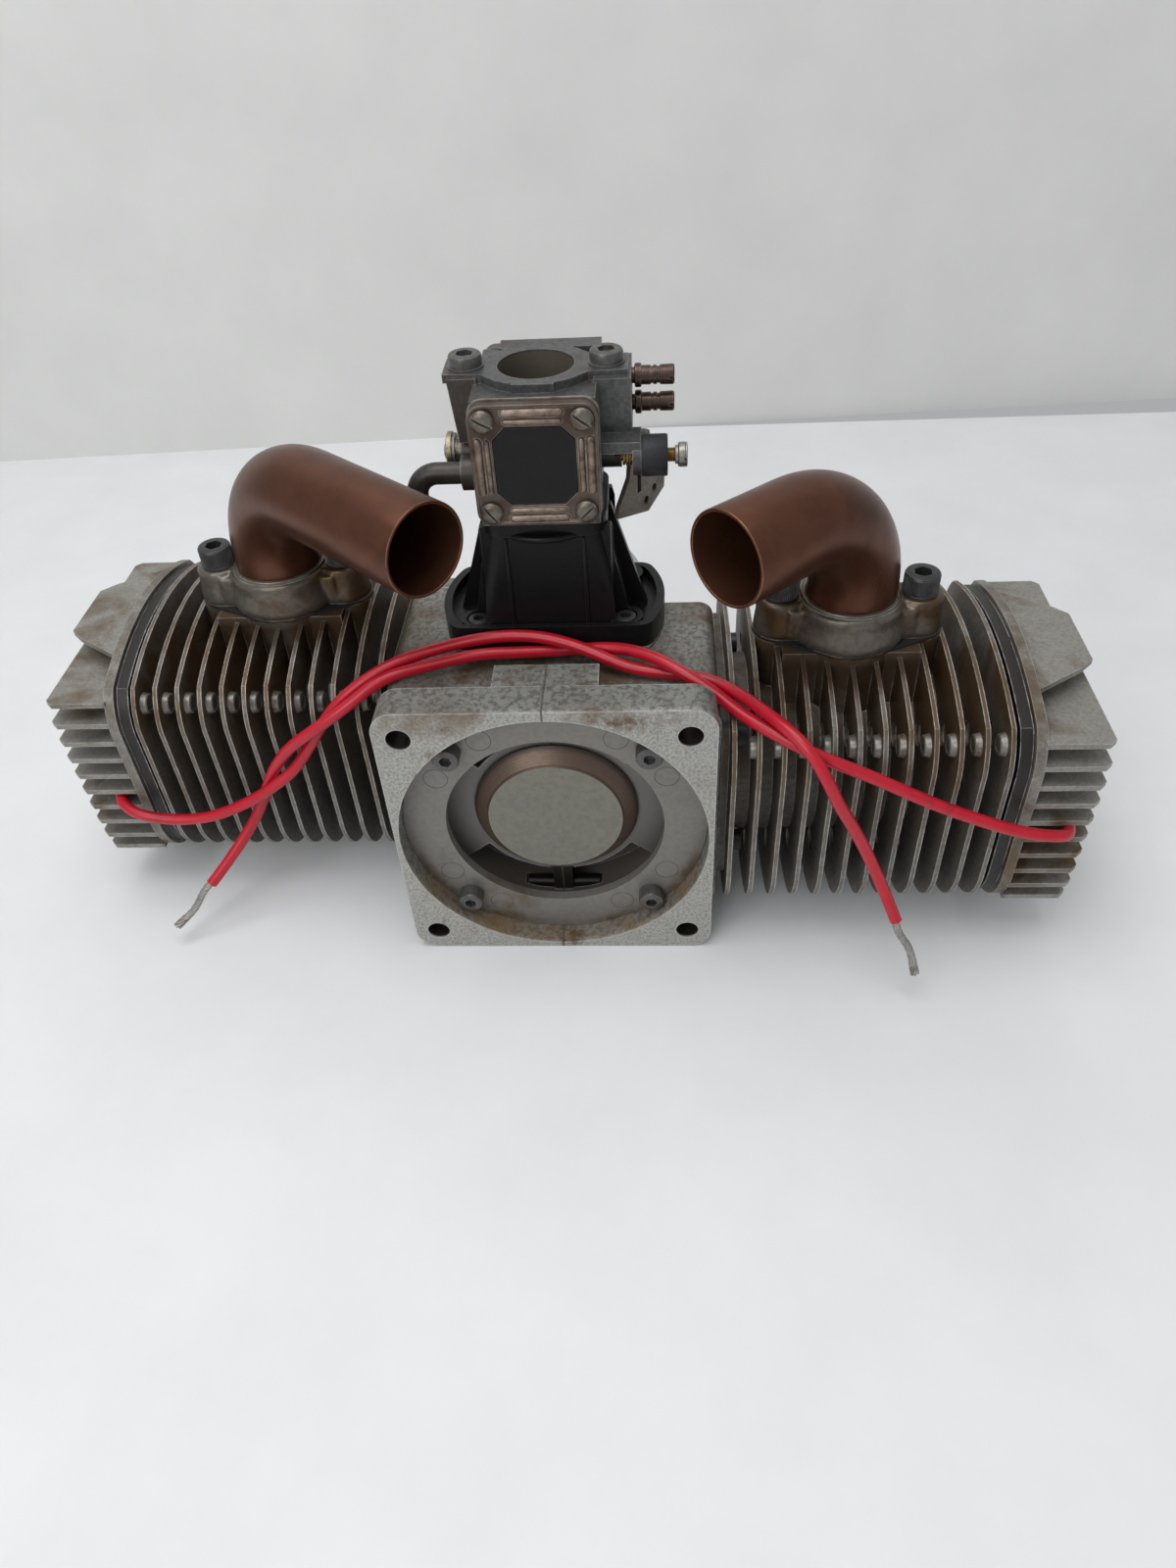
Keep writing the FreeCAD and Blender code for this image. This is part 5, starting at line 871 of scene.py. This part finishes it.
# the pump cover: a stamped frame with twin ridges on each side of its window
stamped = {
    "half": 21.3, "corner": 5.0, "thick": 4.5, "window": 13.7, "cut": 4.5, "sunk": 0.45,
    "ridges": ((18.6, 1.45, 10.4), (15.6, 1.05, 9.8)),  # out from the middle, radius, half length
    "gasket": {"size": (43.4, 43.4, 0.8), "corner": 5.2, "front": 52.6},
}


def cutCorners(piece, width, segments):
    # bevels the four upright edges of a block
    alone(piece)
    bpy.ops.object.mode_set(mode="EDIT")
    bpy.ops.mesh.select_mode(type="EDGE")
    bpy.ops.mesh.select_all(action="DESELECT")
    bpy.ops.object.mode_set(mode="OBJECT")
    for edge in piece.data.edges:
        ends = [piece.data.vertices[index].co for index in edge.vertices]
        edge.select = abs((ends[0] - ends[1]).normalized().z) > 0.9
    bpy.ops.object.mode_set(mode="EDIT")
    bpy.ops.mesh.bevel(offset=width * mm, segments=segments)
    bpy.ops.object.mode_set(mode="OBJECT")
    return piece


plate = cutCorners(block("plate", (2 * stamped["half"], 2 * stamped["half"], stamped["thick"]),
                         (0, 0, stamped["thick"] / 2)), stamped["corner"], 6)
choose(plate, lambda middle, normal: normal.z > 0.9)
bpy.ops.mesh.inset(thickness=0.9 * mm, depth=0.0)
bpy.ops.mesh.inset(thickness=0.5 * mm, depth=-0.35 * mm)
bpy.ops.object.mode_set(mode="OBJECT")
window = cutCorners(block("window", (2 * stamped["window"], 2 * stamped["window"], 6.0), (0, 0, 5.6)),
                    stamped["cut"], 1)
carved(plate, [window])
eased(plate, 0.3, 2, 40)
rows = [plate]
for reach, thick, length in stamped["ridges"]:
    rounding = [(0.0, 0.2), (0.15, 0.6), (0.5, 0.9), (1.0, 1.0)]  # in from the end and out, for each radius
    stations = [(along * thick - length, out * thick) for along, out in rounding]
    stations += [(length - along * thick, out * thick) for along, out in reversed(rounding)]
    bar = lathed("ridge", stations, 24)
    level = stamped["thick"] - stamped["sunk"]
    for side in (-1, 1):
        rows.append(another(bar, "ridgeAcross", (0, side * reach, level), "right"))
        rows.append(another(bar, "ridgeAlong", (side * reach, 0, level), "front"))
    bpy.data.objects.remove(bar)
cover = seated(joined("pumpCover", rows), (0, coverFront + stamped["thick"], coverMiddle), "front")
fitted(cover, "pumpCover", "engine", "carb_brown", ["pump_cover"])

gasket = cutCorners(block("pumpGasket", stamped["gasket"]["size"], (0, 0, 0)), stamped["gasket"]["corner"], 6)
choose(gasket, lambda middle, normal: abs(normal.z) > 0.9)
bpy.ops.mesh.inset(thickness=1.5 * mm, depth=-0.1 * mm, use_individual=True)
bpy.ops.object.mode_set(mode="OBJECT")
fitted(seated(gasket, (0, stamped["gasket"]["front"], coverMiddle), "front"), "pumpGasket", "engine",
       "gasket_black", finish="diaphragm_sheet")
print("pump cover stamped")


# mixture needles, idle screw and the end of the throttle shaft, all turned
needles = {
    "profile": [(0, 2.6), (4.9, 2.6), (5.0, 3.5), (5.3, 3.9), (7.0, 3.9), (7.3, 3.5), (7.3, 3.1), (10.3, 3.15),
                (10.5, 2.75), (11.1, 2.75), (11.3, 3.1), (12.4, 3.1), (12.6, 2.7), (13.3, 2.7), (13.6, 3.2),
                (17.9, 3.3), (18.4, 2.9)],
    "start": 28.0, "y": 77.0,
    "needleHigh": {"level": 146.2, "body": "needle_high", "node": "mixture_needle_high"},
    "needleLow": {"level": 137.0, "body": "needle_low", "node": "mixture_needle_low"},
}
needle = carved(lathed("needle", needles["profile"], 40), [block("slot", (8.0, 1.1, 3.0), (0, 0, 18.2))])
for name in ("needleHigh", "needleLow"):
    facts = needles[name]
    turned = another(needle, name, (needles["start"], needles["y"], facts["level"]), "right", 90)
    fitted(turned, name, facts["body"], "carb_gunmetal", [facts["node"]], finish="needle_brown")
bpy.data.objects.remove(needle)

idle = {
    "spot": (26.0, 62.0, 124.5),
    "point": [(0, 0.4), (1.2, 1.0), (4.0, 2.4), (9.0, 2.5)],
    "threads": {"start": 17.9, "pitch": 0.7, "count": 4, "crest": 2.5, "root": 2.1, "end": 20.9},
    "coils": ((3.4, 2.75), (4.5, 3.0), (5.5, 3.1)),  # place along the stem and radius
    "knob": [(20.4, 2.9), (20.6, 3.1), (21.3, 3.1), (21.5, 3.8), (21.8, 4.1), (23.6, 4.15), (23.8, 3.95),
             (24.0, 4.15), (24.3, 4.15), (24.6, 3.85)],
    "sleeve": [(9.0, 6.5), (9.2, 6.9), (9.6, 7.0), (17.4, 7.0), (17.8, 6.8), (17.9, 6.5)],
    "eye": [(7.0, 2.6), (20.0, 2.6)],
}
thread = idle["threads"]
stations = list(idle["point"])
for turn in range(thread["count"]):
    crest = thread["start"] + thread["pitch"] * turn
    stations += [(crest, thread["crest"]), (crest + thread["pitch"] / 2, thread["root"])]
stem = lathed("idleStem", stations + [(thread["end"], thread["root"])], 36)
coils = []
for along, reach in idle["coils"]:
    bpy.ops.object.select_all(action="DESELECT")
    bpy.ops.mesh.primitive_torus_add(major_radius=reach * mm, minor_radius=0.42 * mm, major_segments=40,
                                     minor_segments=10, location=(0, 0, along * mm), rotation=(0.12, 0.1, 0))
    bpy.ops.object.transform_apply(location=True, rotation=True, scale=True)
    coils.append(bpy.context.active_object)
stem = seated(joined("idleStem", [stem] + coils), idle["spot"], "right")
fitted(stem, "idleStem", "idle_screw", "brass", ["idle_screw"])
knob = carved(lathed("idleKnob", idle["knob"], 44), [block("slot", (10.0, 1.1, 3.0), (0, 0, 25.0))])
fitted(seated(knob, idle["spot"], "right", 90), "idleKnob", "idle_screw", "plug_steel", ["idle_screw"],
       finish="dull_steel")
sleeve = carved(lathed("idleSleeve", idle["sleeve"], 56), [lathed("eye", idle["eye"], 32)])
fitted(seated(sleeve, idle["spot"], "right"), "idleSleeve", "engine", "intake_plastic", ["idle_screw_sleeve"],
       finish="soft_rubber")

shaft = {"spot": (-30.0, 75.0, 122.0),
         "cap": [(0, 4.6), (1.2, 4.6), (1.4, 6.4), (1.7, 6.8), (3.1, 6.9), (3.5, 6.4), (3.7, 5.0), (3.6, 2.8),
                 (4.5, 2.6), (4.8, 2.1)]}
cap = seated(lathed("shaftEnd", shaft["cap"], 48), shaft["spot"], "left")
fitted(cap, "shaftEnd", "throttle", "worn_steel", finish="dull_brass")
print("needles and idle screw turned")


# the intake's rolled lip and the ribs down its front and back
ribs = {"across": 14.0, "low": 58.5, "high": 97.5, "front": 55.4, "rear": 94.6, "width": 1.7, "stand": 1.5,
        "lip": {"radius": 22.8, "thick": 1.3, "level": 98.6, "squash": 0.93}}
moulded = []
for across in (-ribs["across"], ribs["across"]):
    for depth in (ribs["front"], ribs["rear"]):
        rib = block("rib", (ribs["width"], ribs["stand"], ribs["high"] - ribs["low"]),
                    (across, depth, (ribs["low"] + ribs["high"]) / 2))
        choose(rib, lambda middle, normal: normal.z > 0.9)
        bpy.ops.transform.resize(value=(0.6, 0.6, 1.0),
                                 center_override=(across * mm, depth * mm, ribs["high"] * mm))
        bpy.ops.object.mode_set(mode="OBJECT")
        moulded.append(eased(rib, 0.35, 2, 40))
bpy.ops.object.select_all(action="DESELECT")
bpy.ops.mesh.primitive_torus_add(major_radius=ribs["lip"]["radius"] * mm,
                                 minor_radius=ribs["lip"]["thick"] * mm, major_segments=96,
                                 minor_segments=16, location=(0, carbAxis * mm, ribs["lip"]["level"] * mm))
bpy.context.active_object.scale.x = ribs["lip"]["squash"]
bpy.ops.object.transform_apply(location=True, rotation=True, scale=True)
moulded.append(bpy.context.active_object)
fitted(joined("intakeRibs", moulded), "intakeRibs", "engine", "intake_plastic")
print("intake ribs added")


# floor, backdrop and lamps
studio = {
    "floor": -0.0612,
    "nearEdge": -2.6,
    "halfWidth": 3.2,
    "wall": 0.50,
    "wallHeight": 2.4,
    "wallTurn": 3.2,
    "floorColour": (0.80, 0.81, 0.82),
    "backdropColour": (0.74, 0.74, 0.72),
    "skyColour": (0.95, 0.97, 1.0, 1.0),
    "skyStrength": 0.42,
}


def dressStage(name, colour):
    material = bpy.data.materials.new(name)
    material.use_nodes = True
    tree = material.node_tree
    shader = tree.nodes["Principled BSDF"]
    shader.inputs["Roughness"].default_value = 0.6
    mottled = mixed(tree, remap(tree, noise(tree, objectPlace(tree), 14.0, 5.0, 0.6), 0.35, 0.75),
                    colour, tuple(value * 0.93 for value in colour))
    feed(tree, shader.inputs["Base Color"], mottled)
    return material


bpy.ops.mesh.primitive_plane_add(size=1.0, location=(0, 0, studio["floor"]))
floor = bpy.context.active_object
floor.name = "floor"
floor.scale = (2 * studio["halfWidth"], studio["wall"] - studio["nearEdge"], 1.0)
floor.location.y = (studio["wall"] + studio["nearEdge"]) / 2
bpy.ops.object.transform_apply(location=True, rotation=True, scale=True)
floor.data.materials.append(dressStage("floorPaper", studio["floorColour"]))
middle = studio["floor"] + studio["wallHeight"] / 2
bpy.ops.mesh.primitive_plane_add(size=1.0, location=(0, studio["wall"], middle),
                                 rotation=(math.pi / 2, 0, math.radians(studio["wallTurn"])))
backdrop = bpy.context.active_object
backdrop.name = "backdrop"
backdrop.scale = (2 * studio["halfWidth"], studio["wallHeight"], 1.0)
bpy.ops.object.transform_apply(location=True, rotation=True, scale=True)
backdrop.data.materials.append(dressStage("backdropPaper", studio["backdropColour"]))

world = bpy.data.worlds.new("world")
bpy.context.scene.world = world
world.use_nodes = True
sky = world.node_tree.nodes["Background"]
sky.inputs["Color"].default_value = studio["skyColour"]
sky.inputs["Strength"].default_value = studio["skyStrength"]

lamps = {
    "overhead": {"place": (-0.15, -0.10, 1.25), "aim": (0.0, 0.05, 0.0), "size": 0.9, "power": 8.5},
    "front": {"place": (-0.55, -1.0, 0.75), "aim": (0.0, 0.0, 0.03), "size": 0.8, "power": 5.6},
}
for name, lamp in lamps.items():
    data = bpy.data.lights.new(name, "AREA")
    data.size = lamp["size"]
    data.energy = lamp["power"]
    lampObject = bpy.data.objects.new(name, data)
    bpy.context.scene.collection.objects.link(lampObject)
    lampObject.location = lamp["place"]
    toward = Vector(lamp["aim"]) - Vector(lamp["place"])
    lampObject.rotation_mode = "QUATERNION"
    lampObject.rotation_quaternion = toward.to_track_quat("-Z", "Y")
bpy.context.scene.view_settings.view_transform = "Standard"
print("stage lit")
